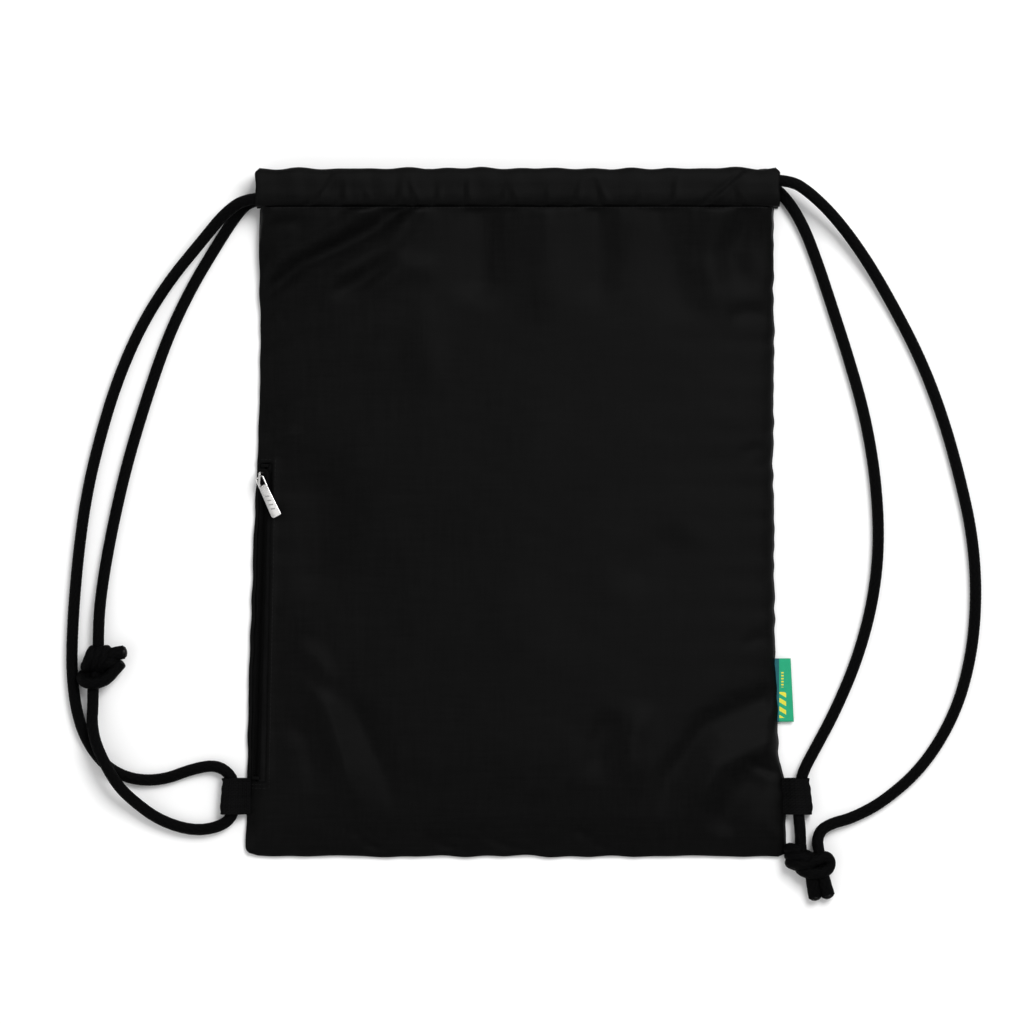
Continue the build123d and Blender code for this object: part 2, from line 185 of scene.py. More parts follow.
class ShaderLibrary:
    """The node groups that several finishes share, each built once."""

    def __init__(self) -> None:
        """Build the groups."""
        self.weave_relief = self._weave_relief()
        self.braid_relief = self._braid_relief()
        self.cloth_mottle = self._cloth_mottle()
        self.handling_wear = self._handling_wear()

    def _start(
        self, name: str, numbers: dict[str, float], outputs: tuple[str, ...]
    ) -> tuple[NodeBench, bpy.types.Node, bpy.types.Node]:
        """Start a node group that takes a place, as its input Vector, and some numbers.

        Args:
            name: the group's name.
            numbers: the numbers' names and default values.
            outputs: names of the value outputs.

        Returns:
            A bench on the new tree, its input node and its output node.
        """
        tree = bpy.data.node_groups.new(name, "ShaderNodeTree")
        tree.interface.new_socket("Vector", in_out="INPUT", socket_type="NodeSocketVector")
        for label, default in numbers.items():
            socket = tree.interface.new_socket(label, in_out="INPUT", socket_type="NodeSocketFloat")
            socket.default_value = default
        for label in outputs:
            tree.interface.new_socket(label, in_out="OUTPUT", socket_type="NodeSocketFloat")
        bench = NodeBench(tree)
        return bench, bench.add("NodeGroupInput"), bench.add("NodeGroupOutput")

    def _weave_relief(self) -> bpy.types.NodeTree:
        """Make plain weave: threads along both directions, over and under each other.

        Returns:
            Group with inputs Vector, Warp and Weft (threads per unit) and outputs Height and Warp Mask.
        """
        bench, given, result = self._start(
            "weave_relief", {"Warp": 2000.0, "Weft": 2000.0}, ("Height", "Warp Mask")
        )
        split = bench.add("ShaderNodeSeparateXYZ")
        bench.feed(split, 0, given.outputs["Vector"])
        across = bench.math("MULTIPLY", split.outputs[0], given.outputs["Warp"])
        along = bench.math("MULTIPLY", split.outputs[1], given.outputs["Weft"])
        warp = bench.math("SINE", bench.math("MULTIPLY", across, math.pi))
        weft = bench.math("SINE", bench.math("MULTIPLY", along, math.pi))
        mask = bench.math("GREATER_THAN", bench.math("MULTIPLY", warp, weft), 0.0)
        warp_height = bench.math("MULTIPLY", bench.math("ABSOLUTE", warp), mask)
        other = bench.math("SUBTRACT", 1.0, mask)
        weft_height = bench.math("MULTIPLY", bench.math("ABSOLUTE", weft), other)
        bench.feed(result, "Height", bench.math("ADD", warp_height, weft_height))
        bench.feed(result, "Warp Mask", mask)
        return bench.tree

    def _braid_relief(self) -> bpy.types.NodeTree:
        """Make a round braid: strands that climb both ways round a cord.

        Returns:
            Group with inputs Vector (round, along), Round and Along (strands per unit) and
            outputs Height and Side.
        """
        bench, given, result = self._start(
            "braid_relief", {"Round": 8.0, "Along": 180.0}, ("Height", "Side")
        )
        split = bench.add("ShaderNodeSeparateXYZ")
        bench.feed(split, 0, given.outputs["Vector"])
        turn = bench.math("MULTIPLY", split.outputs[0], given.outputs["Round"])
        climb = bench.math("MULTIPLY", split.outputs[1], given.outputs["Along"])
        diagonal = bench.add("ShaderNodeCombineXYZ")
        bench.feed(diagonal, 0, bench.math("ADD", turn, climb))
        bench.feed(diagonal, 1, bench.math("SUBTRACT", turn, climb))
        woven = bench.group(self.weave_relief, Vector=diagonal.outputs[0], Warp=1.0, Weft=1.0)
        bench.feed(result, "Height", woven.outputs["Height"])
        bench.feed(result, "Side", woven.outputs["Warp Mask"])
        return bench.tree

    def _cloth_mottle(self) -> bpy.types.NodeTree:
        """Make the slow and fine unevenness of dyed cloth.

        Returns:
            Group with inputs Vector, Broad and Fine (features per metre) and outputs Tone, Grain and Slub.
        """
        bench, given, result = self._start(
            "cloth_mottle", {"Broad": 18.0, "Fine": 700.0}, ("Tone", "Grain", "Slub")
        )
        place = given.outputs["Vector"]
        thread_pitch = bench.math("MULTIPLY", given.outputs["Fine"], 0.32)
        streaks = []
        for stretch in ((2.2, 0.12, 1.0), (0.12, 2.2, 1.0)):
            pulled = bench.add("ShaderNodeVectorMath", operation="MULTIPLY")
            bench.feed(pulled, 0, place)
            bench.feed(pulled, 1, stretch)
            streaks.append(bench.noise(pulled.outputs[0], thread_pitch, 3.0))
        bench.feed(result, "Slub", bench.math("MULTIPLY", bench.math("ADD", *streaks), 0.5))
        bench.feed(result, "Tone", bench.noise(place, given.outputs["Broad"], 4.0))
        bench.feed(result, "Grain", bench.noise(place, given.outputs["Fine"], 2.0))
        return bench.tree

    def _handling_wear(self) -> bpy.types.NodeTree:
        """Make fine scratches and dull spots, as on metal and moulded parts that are handled.

        Returns:
            Group with inputs Vector and Scale and outputs Scratch and Dullness.
        """
        bench, given, result = self._start("handling_wear", {"Scale": 300.0}, ("Scratch", "Dullness"))
        stretch = bench.add("ShaderNodeVectorMath", operation="MULTIPLY")
        bench.feed(stretch, 0, given.outputs["Vector"])
        bench.feed(stretch, 1, (1.0, 6.0, 1.0))
        fine = bench.noise(stretch.outputs[0], given.outputs["Scale"], 5.0)
        bench.feed(result, "Scratch", bench.math("POWER", fine, 3.0))
        broad = bench.math("MULTIPLY", given.outputs["Scale"], 0.35)
        bench.feed(result, "Dullness", bench.noise(given.outputs["Vector"], broad, 2.0))
        return bench.tree


# ---------------------------------------------------------------- finishes
@dataclass(frozen=True)
class Finish:
    """A surface finish with one base colour."""

    name: str
    colour: Colour
    roughness: float
    specular: float = 0.3
    metallic: float = 0.0
    coordinates: Coordinates = Coordinates.OBJECT

    def start(self) -> tuple[NodeBench, bpy.types.Node, Socket]:
        """Make the material and its shader.

        Returns:
            A bench on the material's tree, the shader node and the place socket.
        """
        material = bpy.data.materials.new(self.name)
        material.use_nodes = True
        bench = NodeBench(material.node_tree)
        shader = next(n for n in bench.tree.nodes if n.type == "BSDF_PRINCIPLED")
        shader.inputs["Specular IOR Level"].default_value = self.specular
        shader.inputs["Metallic"].default_value = self.metallic
        place = bench.add("ShaderNodeTexCoord").outputs[self.coordinates.value]
        return bench, shader, place

    def tone(self, bench: NodeBench, share: Socket, spread: float) -> Socket:
        """Vary the base colour's brightness over the surface.

        Args:
            bench: the material's bench.
            share: socket from 0 to 1 that says where it is lighter.
            spread: how much lighter or darker it gets, as a share of the base.

        Returns:
            The colour's socket.
        """
        dark = tuple(c * (1 - spread) for c in self.colour)
        light = tuple(c * (1 + spread) for c in self.colour)
        return bench.blend(share, dark, light)

    def bump(self, bench: NodeBench, shader: bpy.types.Node, height: Socket, depth: float) -> None:
        """Raise the surface by a height.

        Args:
            bench: the material's bench.
            shader: the shader that takes the normal.
            height: socket from 0 to 1.
            depth: how far 1 stands out, in metres.
        """
        node = bench.add("ShaderNodeBump")
        bench.feed(node, "Strength", 1.0)
        bench.feed(node, "Distance", depth)
        bench.feed(node, "Height", height)
        bench.feed(shader, "Normal", node.outputs[0])

    def roughen(self, bench: NodeBench, shader: bpy.types.Node, share: Socket, spread: float) -> None:
        """Vary the roughness over the surface.

        Args:
            bench: the material's bench.
            shader: the shader that takes the roughness.
            share: socket from 0 to 1.
            spread: difference between the dullest and glossiest spots.
        """
        varied = bench.math("MULTIPLY_ADD", share, spread, self.roughness - spread / 2)
        bench.feed(shader, "Roughness", varied)


@dataclass(frozen=True)
class WovenFinish(Finish):
    """Cloth, tape or webbing in plain weave."""

    warp: float = 1900.0
    weft: float = 1700.0
    depth: float = 0.00006
    mottle: float = 0.45
    broad: float = 16.0

    def material(self, library: ShaderLibrary) -> Material:
        """Make the cloth's material.

        Args:
            library: the shared node groups.

        Returns:
            The material.
        """
        bench, shader, place = self.start()
        weave = bench.group(library.weave_relief, Vector=place, Warp=self.warp, Weft=self.weft)
        mottle = bench.group(library.cloth_mottle, Vector=place, Broad=self.broad, Fine=900.0)
        # Painted shade: the colour is lighter on the weave's raised threads and darker in the hollows between
        # them, over the cloth's random mottle and slubs.
        threads = bench.math("MULTIPLY_ADD", weave.outputs["Height"], 0.35, mottle.outputs["Tone"])
        slub = bench.math("MULTIPLY_ADD", mottle.outputs["Slub"], 2.6, -1.3)
        share = bench.math("MULTIPLY_ADD", threads, 0.6, slub)
        bench.feed(shader, "Base Color", self.tone(bench, share, self.mottle))
        self.roughen(bench, shader, mottle.outputs["Slub"], 0.3)
        height = bench.math("MULTIPLY_ADD", mottle.outputs["Grain"], 0.5, weave.outputs["Height"])
        self.bump(bench, shader, height, self.depth)
        return bpy.data.materials[self.name]


@dataclass(frozen=True)
class BraidFinish(Finish):
    """Braided cord; its mesh's UV map runs round the cord and along it in metres."""

    round_strands: float = 8.0
    along_strands: float = 175.0
    depth: float = 0.0002

    def material(self, library: ShaderLibrary) -> Material:
        """Make the cord's material.

        Args:
            library: the shared node groups.

        Returns:
            The material.
        """
        bench, shader, place = self.start()
        braid = bench.group(
            library.braid_relief, Vector=place, Round=self.round_strands, Along=self.along_strands
        )
        yarn = bench.group(
            library.braid_relief, Vector=place, Round=self.round_strands * 5,
            Along=self.along_strands * 5,
        )
        body = bench.add("ShaderNodeTexCoord").outputs["Object"]
        mottle = bench.group(library.cloth_mottle, Vector=body, Broad=40.0, Fine=2500.0)
        relief = bench.math("MULTIPLY_ADD", yarn.outputs["Height"], 0.3, braid.outputs["Height"])
        # Painted shade: the colour is lighter on raised strands and darker in the hollows between them, over
        # the cord's random tone.
        share = bench.math("MULTIPLY_ADD", mottle.outputs["Tone"], 0.4, bench.math("MULTIPLY", relief, 0.5))
        bench.feed(shader, "Base Color", self.tone(bench, share, 0.45))
        self.roughen(bench, shader, mottle.outputs["Grain"], 0.15)
        height = bench.math("MULTIPLY_ADD", mottle.outputs["Grain"], 0.25, relief)
        self.bump(bench, shader, height, self.depth)
        return bpy.data.materials[self.name]


@dataclass(frozen=True)
class HardFinish(Finish):
    """Cast metal or moulded nylon with light wear."""

    wear: float = 0.3
    scale: float = 300.0
    depth: float = 0.00002

    def material(self, library: ShaderLibrary) -> Material:
        """Make the hard part's material.

        Args:
            library: the shared node groups.

        Returns:
            The material.
        """
        bench, shader, place = self.start()
        wear = bench.group(library.handling_wear, Vector=place, Scale=self.scale)
        bench.feed(shader, "Base Color", self.tone(bench, wear.outputs["Dullness"], self.wear * 0.5))
        self.roughen(bench, shader, wear.outputs["Dullness"], self.wear)
        self.bump(bench, shader, wear.outputs["Scratch"], self.depth)
        return bpy.data.materials[self.name]


@dataclass(frozen=True)
class LabelFinish(Finish):
    """Woven label: a dark selvedge by the seam and plain woven bars, with no lettering."""

    selvedge: Colour = (0.012, 0.11, 0.13)
    mark: Colour = (0.72, 0.68, 0.06)
    seam_x: float = 0.169
    marks_low_y: float = -0.1345
    marks_high_y: float = -0.1175
    mark_pitch: float = 0.0056

    def band(self, bench: NodeBench, value: Socket, low: float, high: float) -> Socket:
        """Mask a value between two limits.

        Args:
            bench: the material's bench.
            value: socket to test.
            low: lower limit.
            high: upper limit.

        Returns:
            Socket that is 1 between the limits and 0 elsewhere.
        """
        above = bench.math("GREATER_THAN", value, low)
        below = bench.math("LESS_THAN", value, high)
        return bench.math("MULTIPLY", above, below)

    def material(self, library: ShaderLibrary) -> Material:
        """Make the label's material.

        Args:
            library: the shared node groups.

        Returns:
            The material.
        """
        bench, shader, place = self.start()
        weave = bench.group(library.weave_relief, Vector=place, Warp=2400.0, Weft=1800.0)
        mottle = bench.group(library.cloth_mottle, Vector=place, Broad=120.0, Fine=2000.0)
        split = bench.add("ShaderNodeSeparateXYZ")
        bench.feed(split, 0, place)
        out, up = split.outputs[0], split.outputs[1]
        edge = bench.math("LESS_THAN", out, self.seam_x + 0.0022)
        body = bench.blend(edge, self.colour, self.selvedge)
        slant = bench.math("MULTIPLY_ADD", out, 0.6, up)
        beat = bench.math("FRACT", bench.math("DIVIDE", slant, self.mark_pitch))
        bars = bench.math(
            "MULTIPLY",
            self.band(bench, beat, 0.2, 0.72),
            self.band(bench, up, self.marks_low_y, self.marks_high_y),
        )
        across = self.band(bench, out, self.seam_x + 0.0024, self.seam_x + 0.0068)
        bars = bench.math("MULTIPLY", bars, across)
        fine_beat = bench.math("FRACT", bench.math("DIVIDE", up, self.mark_pitch * 0.35))
        fine = bench.math(
            "MULTIPLY",
            self.band(bench, fine_beat, 0.25, 0.75),
            self.band(bench, up, self.marks_high_y + 0.003, self.marks_high_y + 0.013),
        )
        across = self.band(bench, out, self.seam_x + 0.0036, self.seam_x + 0.0052)
        fine = bench.math("MULTIPLY", fine, across)
        marks = bench.math("MAXIMUM", bars, fine)
        painted = bench.blend(marks, body, self.mark)
        shade = bench.math("MULTIPLY_ADD", weave.outputs["Height"], 0.35, 0.6)
        shade = bench.math("MULTIPLY_ADD", mottle.outputs["Tone"], 0.25, shade)
        tinted = bench.add("ShaderNodeMix", data_type="RGBA", blend_type="MULTIPLY")
        bench.feed(tinted, 0, 1.0)
        bench.feed(tinted, 6, painted)
        bench.feed(tinted, 7, shade)
        bench.feed(shader, "Base Color", tinted.outputs[2])
        self.roughen(bench, shader, mottle.outputs["Grain"], 0.1)
        self.bump(bench, shader, weave.outputs["Height"], 0.00008)
        return bpy.data.materials[self.name]


@dataclass(frozen=True)
class PaperFinish(Finish):
    """Seamless pale floor."""

    def material(self, library: ShaderLibrary) -> Material:
        """Make the floor's material.

        Args:
            library: the shared node groups.

        Returns:
            The material.
        """
        bench, shader, place = self.start()
        mottle = bench.group(library.cloth_mottle, Vector=place, Broad=3.0, Fine=400.0)
        bench.feed(shader, "Base Color", self.tone(bench, mottle.outputs["Tone"], 0.01))
        self.roughen(bench, shader, mottle.outputs["Grain"], 0.05)
        return bpy.data.materials[self.name]


@dataclass(frozen=True)
class BackpackFinishes:
    """Every finish of the backpack and its floor."""

    satin: WovenFinish = WovenFinish("black_satin_cloth", (0.0018, 0.0018, 0.0018), 0.44, 0.05)
    lining: WovenFinish = WovenFinish(
        "black_lining_cloth", (0.004, 0.004, 0.0042), 0.7, 0.06, warp=1500.0, weft=1500.0
    )
    webbing: WovenFinish = WovenFinish(
        "black_webbing", (0.0026, 0.0026, 0.0027), 0.75, 0.04, coordinates=Coordinates.UV, warp=900.0,
        weft=620.0, depth=0.0003, mottle=0.5,
    )
    tape: WovenFinish = WovenFinish(
        "black_zip_tape", (0.0048, 0.0048, 0.0049), 0.85, 0.05, warp=1600.0, weft=1400.0, depth=0.0001
    )
    braid: BraidFinish = BraidFinish(
        "black_braided_cord", (0.0014, 0.0014, 0.0015), 0.62, 0.024, coordinates=Coordinates.UV
    )
    cut_end: HardFinish = HardFinish(
        "melted_cord_end", (0.002, 0.002, 0.002), 0.35, 0.14, scale=900.0, depth=0.0001
    )
    thread: HardFinish = HardFinish(
        "black_sewing_thread", (0.0045, 0.0045, 0.0047), 0.55, 0.12, scale=1500.0
    )
    nylon: HardFinish = HardFinish("black_moulded_coil", (0.0028, 0.0028, 0.0028), 0.7, 0.03, wear=0.2)
    # Near-black finish on the slider's body: painted shade over a body that is nickel like its bridge.
    lacquer: HardFinish = HardFinish("black_slider_lacquer", (0.002, 0.002, 0.002), 0.6, 0.04, wear=0.2)
    # Dark grey nickel for the pull tab's marks: painted shade, standing in for the shade in the tab's
    # lettering.
    mark: HardFinish = HardFinish("sunk_nickel_mark", (0.3, 0.295, 0.29), 0.45, 0.4, wear=0.2)
    nickel: HardFinish = HardFinish(
        "brushed_nickel", (0.64, 0.63, 0.62), 0.27, 0.5, metallic=1.0, wear=0.16, scale=500.0
    )
    label: LabelFinish = LabelFinish("green_woven_label", (0.017, 0.36, 0.18), 0.6, 0.2)
    floor: PaperFinish = PaperFinish("pale_paper", (0.9, 0.9, 0.9), 0.8, 0.1)

    def make(self, library: ShaderLibrary) -> Finishes:
        """Make every material.

        Args:
            library: the shared node groups.

        Returns:
            The materials by the finish's field name.
        """
        return {name: getattr(self, name).material(library) for name in self.__dataclass_fields__}


# ---------------------------------------------------------------- mesh making
def smoothstep(value: Array) -> Array:
    """Ease from 0 to 1.

    Args:
        value: numbers, clipped to 0 and 1.

    Returns:
        The eased numbers.
    """
    clipped = np.clip(value, 0.0, 1.0)
    return clipped * clipped * (3 - 2 * clipped)


def mesh_object(
    name: str,
    points: Array,
    faces: Faces,
    material: Material,
    corners: Array | None = None,
) -> Piece:
    """Make a smooth-shaded mesh object.

    Args:
        name: the piece's name.
        points: vertices, in metres.
        faces: vertex numbers of each face.
        material: the piece's finish.
        corners: UV pair of each face corner in order, or None.

    Returns:
        The object, in the scene.
    """
    mesh = bpy.data.meshes.new(name)
    mesh.from_pydata(np.asarray(points, float).tolist(), [], faces)
    if corners is not None:
        layer = mesh.uv_layers.new(name="UVMap")
        layer.data.foreach_set("uv", np.asarray(corners, np.float32).ravel())
    mesh.polygons.foreach_set("use_smooth", [True] * len(mesh.polygons))
    mesh.materials.append(material)
    mesh.update()
    piece = bpy.data.objects.new(name, mesh)
    bpy.context.scene.collection.objects.link(piece)
    return piece


def grid_faces(rows: int, columns: int, wrap: bool = False) -> Faces:
    """Join a grid of vertices with four-sided faces.

    Args:
        rows: number of rows.
        columns: vertices in each row.
        wrap: whether each row closes on itself.

    Returns:
        The faces.
    """
    last = columns if wrap else columns - 1
    faces = []
    for row in range(rows - 1):
        for column in range(last):
            here = row * columns + column
            across = row * columns + (column + 1) % columns
            faces.append((here, across, across + columns, here + columns))
    return faces


def tube_faces(rings: int, sides: int) -> Faces:
    """Join rings of vertices into a tube whose ends close on two more vertices, first and last.

    Args:
        rings: number of rings.
        sides: vertices in each ring.

    Returns:
        The faces.
    """
    faces = grid_faces(rings, sides, wrap=True)
    start, last = rings * sides, (rings - 1) * sides
    for here in range(sides):
        after = (here + 1) % sides
        faces.append((start, after, here))
        faces.append((start + 1, last + here, last + after))
    return faces


def seat_piece(piece: Piece, node: str | None = None, body: str = "bag") -> Piece:
    """Put a piece on its body, and let it stand for its CAD node.

    Args:
        piece: the piece.
        node: the CAD node that it stands for, or None.
        body: the body that carries it.

    Returns:
        The piece.
    """
    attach(piece, body)
    if node:
        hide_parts(node)
    return piece


def thicken(piece: Piece, thickness: float, side: float = -1.0) -> None:
    """Give a sheet its thickness.

    Args:
        piece: the sheet.
        thickness: in metres.
        side: -1 grows it behind its faces, 1 in front and 0 both ways.
    """
    solid = piece.modifiers.new("thickness", "SOLIDIFY")
    solid.thickness = thickness
    solid.offset = side


def extrude_loop(
    name: str,
    outline: Outline,
    origin: Array,
    axes: tuple[Array, Array, Array],
    depth: float,
    bevel: float,
    material: Material,
) -> Piece:
    """Make a flat piece from its outline, with rounded edges.

    Args:
        name: the piece's name.
        outline: corners in the piece's own plane, in millimetres.
        origin: the plane's zero point, in metres.
        axes: the plane's two directions and its normal.
        depth: how far the piece stands up along the normal, in millimetres.
        bevel: width of its rounded edges, in millimetres.
        material: its finish.

    Returns:
        The object.
    """
    first, second, normal = axes
    low = [origin + first * (a * MM) + second * (b * MM) for a, b in outline]
    points = np.array(low + [p + normal * (depth * MM) for p in low])
    count = len(outline)
    around = [(i, (i + 1) % count, (i + 1) % count + count, i + count) for i in range(count)]
    ends = [tuple(reversed(range(count))), tuple(range(count, 2 * count))]
    piece = mesh_object(name, points, around + ends, material)
    edge = piece.modifiers.new("rounded_edges", "BEVEL")
    edge.width = bevel * MM
    edge.segments = 3
    edge.limit_method = "ANGLE"
    edge.angle_limit = math.radians(35)
    return piece


def line_through(name: str, route: list[Point], divisions: int = 24) -> Array:
    """Read a smooth line from a NURBS spline with these control points.

    Args:
        name: what the line is for.
        route: control points, in metres.
        divisions: points read for each control point.

    Returns:
        Points along the line.
    """
    curve = bpy.data.curves.new(name + "_line", "CURVE")
    curve.dimensions = "3D"
    curve.resolution_u = divisions
    spline = curve.splines.new("NURBS")
    spline.points.add(len(route) - 1)
    for control, place in zip(spline.points, route):
        control.co = (*place, 1.0)
    spline.order_u = 3
    spline.use_endpoint_u = True
    holder = bpy.data.objects.new(curve.name, curve)
    bpy.context.scene.collection.objects.link(holder)
    read = bpy.data.meshes.new_from_object(holder)
    points = np.array([tuple(v.co) for v in read.vertices])
    bpy.data.objects.remove(holder)
    bpy.data.curves.remove(curve)
    bpy.data.meshes.remove(read)
    return points


def even_steps(points: Array, step: float) -> Array:
    """Space points evenly along a line.

    Args:
        points: points along the line.
        step: distance between the new points, about.

    Returns:
        The evenly spaced points.
    """
    lengths = np.concatenate([[0], np.cumsum(np.linalg.norm(np.diff(points, axis=0), axis=1))])
    keep = np.concatenate([[True], np.diff(lengths) > 1e-9])
    count = max(3, int(round(lengths[-1] / step)) + 1)
    places = np.linspace(0, lengths[-1], count)
    lengths, points = lengths[keep], points[keep]
    return np.stack([np.interp(places, lengths, column) for column in points.T], axis=1)


def line_length(points: Array) -> float:
    """Give the length of a line of points."""
    return float(np.linalg.norm(np.diff(points, axis=0), axis=1).sum())


def line_frames(points: Array) -> tuple[Array, Array]:
    """Carry two side directions along a line without twist.

    Args:
        points: points along the line.

    Returns:
        The two side directions at each point.
    """
    runs = np.gradient(points, axis=0)
    runs /= np.linalg.norm(runs, axis=1, keepdims=True)
    up = np.array([0.0, 0.0, 1.0]) if abs(runs[0][2]) < 0.9 else np.array([1.0, 0.0, 0.0])
    firsts = []
    first = np.cross(up, runs[0])
    for run in runs:
        first = first - run * first.dot(run)
        first = first / np.linalg.norm(first)
        firsts.append(first)
    firsts = np.array(firsts)
    return firsts, np.cross(runs, firsts)


def smooth_noise(x: Array, y: Array, pitch: float, seed: int, turns: int = 9) -> Array:
    """Make slow, even unevenness from a few waves in fixed random directions.

    Args:
        x: places across.
        y: places along.
        pitch: size of the features, in the units of x and y.
        seed: which pattern.
        turns: number of waves.

    Returns:
        Heights of about -1 to 1.
    """
    rng = np.random.default_rng(seed)
    total = np.zeros_like(np.asarray(x, float) + np.asarray(y, float))
    for _ in range(turns):
        angle, phase = rng.uniform(0, 2 * math.pi), rng.uniform(0, 2 * math.pi)
        stretch = rng.uniform(0.6, 1.7)
        wave = (x * math.cos(angle) + y * math.sin(angle)) * 2 * math.pi * stretch / pitch
        total = total + np.sin(wave + phase)
    return total / math.sqrt(turns)


# ---------------------------------------------------------------- studio
@dataclass
class Studio:
    """Floor, lights and the camera that looks straight down."""

    aim: Point = (-0.0036, 0.0003, 0.0)
    camera_height: float = 3.168
    lens: float = 170.0
    floor_size: float = 16.0
    key_power: float = 60.0
    fill_power: float = 6.0
    sky: float = 0.6

    def build(self, floor_material: Material) -> Piece:
        """Make the studio.

        Args:
            floor_material: the floor's finish.

        Returns:
            The camera.
        """
        bpy.context.scene.view_settings.view_transform = "Standard"
        self._floor(floor_material)
        self._sky()
        self._area_light("key_light", (0.95, 1.2, 2.3), 1.3, self.key_power)
        self._area_light("fill_light", (-1.3, -0.7, 1.6), 1.6, self.fill_power)
        data = bpy.data.cameras.new("camera")
        data.lens = self.lens
        data.sensor_width = 36.0
        data.clip_start = 0.05
        camera = bpy.data.objects.new("camera", data)
        camera.location = (self.aim[0], self.aim[1], self.camera_height)
        bpy.context.scene.collection.objects.link(camera)
        bpy.context.scene.camera = camera
        return camera

    def _floor(self, material: Material) -> None:
        """Lay the floor.

        Args:
            material: its finish.
        """
        half = self.floor_size / 2
        corners = np.array([(-half, -half, 0), (half, -half, 0), (half, half, 0), (-half, half, 0)])
        floor = mesh_object("floor", corners, [(0, 1, 2, 3)], material)
        floor.location.z = -0.0001

    def _sky(self) -> None:
        """Light the studio evenly from all round."""
        world = bpy.data.worlds.new("studio")
        world.use_nodes = True
        backdrop = world.node_tree.nodes["Background"]
        backdrop.inputs["Color"].default_value = (1.0, 1.0, 1.0, 1.0)
        backdrop.inputs["Strength"].default_value = self.sky
        bpy.context.scene.world = world

    def _area_light(self, name: str, place: Point, size: float, power: float) -> None:
        """Hang a soft light that faces the backpack.

        Args:
            name: the light's name.
            place: where it hangs.
            size: side of its square face.
            power: in watts.
        """
        data = bpy.data.lights.new(name, "AREA")
        data.shape = "SQUARE"
        data.size = size
        data.energy = power
        light = bpy.data.objects.new(name, data)
        light.location = place
        towards = Vector(self.aim) - Vector(place)
        light.rotation_euler = towards.to_track_quat("-Z", "Y").to_euler()
        bpy.context.scene.collection.objects.link(light)


# ---------------------------------------------------------------- cords
# Control points of each strand's line in millimetres, from inside its casing to its knot.
LEFT_OUTER_ROUTE: list[Point] = [
    (-160, 205, 18.9), (-176, 205, 18.9), (-190, 196, 17.4), (-206, 177, 13), (-228, 151, 7.5),
    (-247, 121, 3.75), (-262, 86, 3.75), (-273, 50, 3.75), (-282, 12, 3.75), (-287.5, -28, 3.75),
    (-291, -70, 3.75), (-292, -108, 3.75), (-286.5, -141, 3.75), (-273, -163.5, 3.75),
    (-255, -174.5, 3.75), (-233, -175.5, 3.75), (-212, -167.5, 4.2), (-196, -165, 5),
    (-185.8, -173.5, 5.5), (-185.2, -186, 5.5), (-185.8, -198, 5.5), (-194, -205.5, 5),
    (-212, -208.5, 4.2), (-234, -201.5, 5.5), (-251, -188.5, 9.5), (-262, -177, 14.5),
    (-274.5, -153.5, 14.5), (-278.2, -138, 9.5), (-277.5, -126, 7), (-277.5, -116, 7),
]
LEFT_INNER_ROUTE: list[Point] = [
    (-160, 205, 4.5), (-174, 205, 4.5), (-184.5, 194, 4.2), (-198.5, 172, 3.75), (-214.5, 145, 3.75),
    (-229.5, 113, 3.75), (-243.5, 72, 3.75), (-256, 30, 3.75), (-265.5, -12, 3.75), (-271.5, -46, 4.2),
    (-274, -71, 7), (-274, -87, 7),
]
RIGHT_OUTER_ROUTE: list[Point] = [
    (160, 216.7, 18.9), (177, 216.7, 18.9), (190, 209, 17.4), (208, 192, 13), (228, 165.5, 7.5),
    (246.5, 134, 3.75), (263.5, 101, 3.75), (277.5, 65, 3.75), (289, 25, 3.75), (298, -16, 3.75),
    (300.5, -56, 3.75), (297, -95, 3.75), (286.5, -132, 3.75), (266, -166, 3.75), (240, -189, 3.75),
    (219, -200, 4.2), (204.5, -203.5, 5.6), (196, -209.5, 7), (196, -218, 7),
]
RIGHT_INNER_ROUTE: list[Point] = [
    (148, 216.7, 4.5), (162, 216.7, 4.5), (174.5, 207.5, 4.4), (186.5, 189, 4.2), (196.5, 163, 3.75),
    (206, 134, 3.75), (217, 100, 3.75), (227.5, 63, 3.75), (234.5, 22, 3.75), (236.8, -20, 3.75),
    (232.8, -58, 3.75), (222.5, -96, 3.75), (208, -130, 3.75), (194.5, -155, 4.8), (186.8, -169, 5.5),
    (184.4, -180.5, 5.5), (183.6, -197, 5.5), (185, -208.5, 7), (185, -218, 7),
]
# Through the front casing, over the fold at its far end, and back through the back casing.
LEFT_CASING_ROUTE: list[Point] = [
    (-160, 205, 18.9), (-140, 205, 18.9), (0, 205, 18.9), (140, 205, 18.9), (155.5, 205, 18.9),
    (165.5, 205, 16.5), (165.5, 205, 6.9), (155.5, 205, 4.5), (140, 205, 4.5), (0, 205, 4.5),
    (-140, 205, 4.5), (-160, 205, 4.5),
]
RIGHT_CASING_ROUTE: list[Point] = [
    (160, 216.7, 18.9), (140, 216.7, 18.9), (0, 216.7, 18.9), (-140, 216.7, 18.9),
    (-155.5, 216.7, 18.9), (-165.5, 216.7, 16.5), (-165.5, 216.7, 6.9), (-155.5, 216.7, 4.5),
    (-140, 216.7, 4.5), (0, 216.7, 4.5), (130, 216.7, 4.5), (148, 216.7, 4.5),
]


@dataclass
class Surface:
    """Vertices, faces and the UV pair of each face corner."""

    points: Array
    faces: Faces
    corners: Array

    @classmethod
    def merge(cls, parts: list["Surface"]) -> "Surface":
        """Put surfaces together.

        Args:
            parts: the surfaces, in order.

        Returns:
            All of them as one surface.
        """
        faces, count = [], 0
        for part in parts:
            faces.extend(tuple(v + count for v in face) for face in part.faces)
            count += len(part.points)
        return cls(np.vstack([p.points for p in parts]), faces, np.vstack([p.corners for p in parts]))

    def piece(self, name: str, material: Material) -> Piece:
        """Make the mesh object.

        Args:
            name: the piece's name.
            material: its finish.

        Returns:
            The piece.
        """
        return mesh_object(name, self.points, self.faces, material, self.corners)


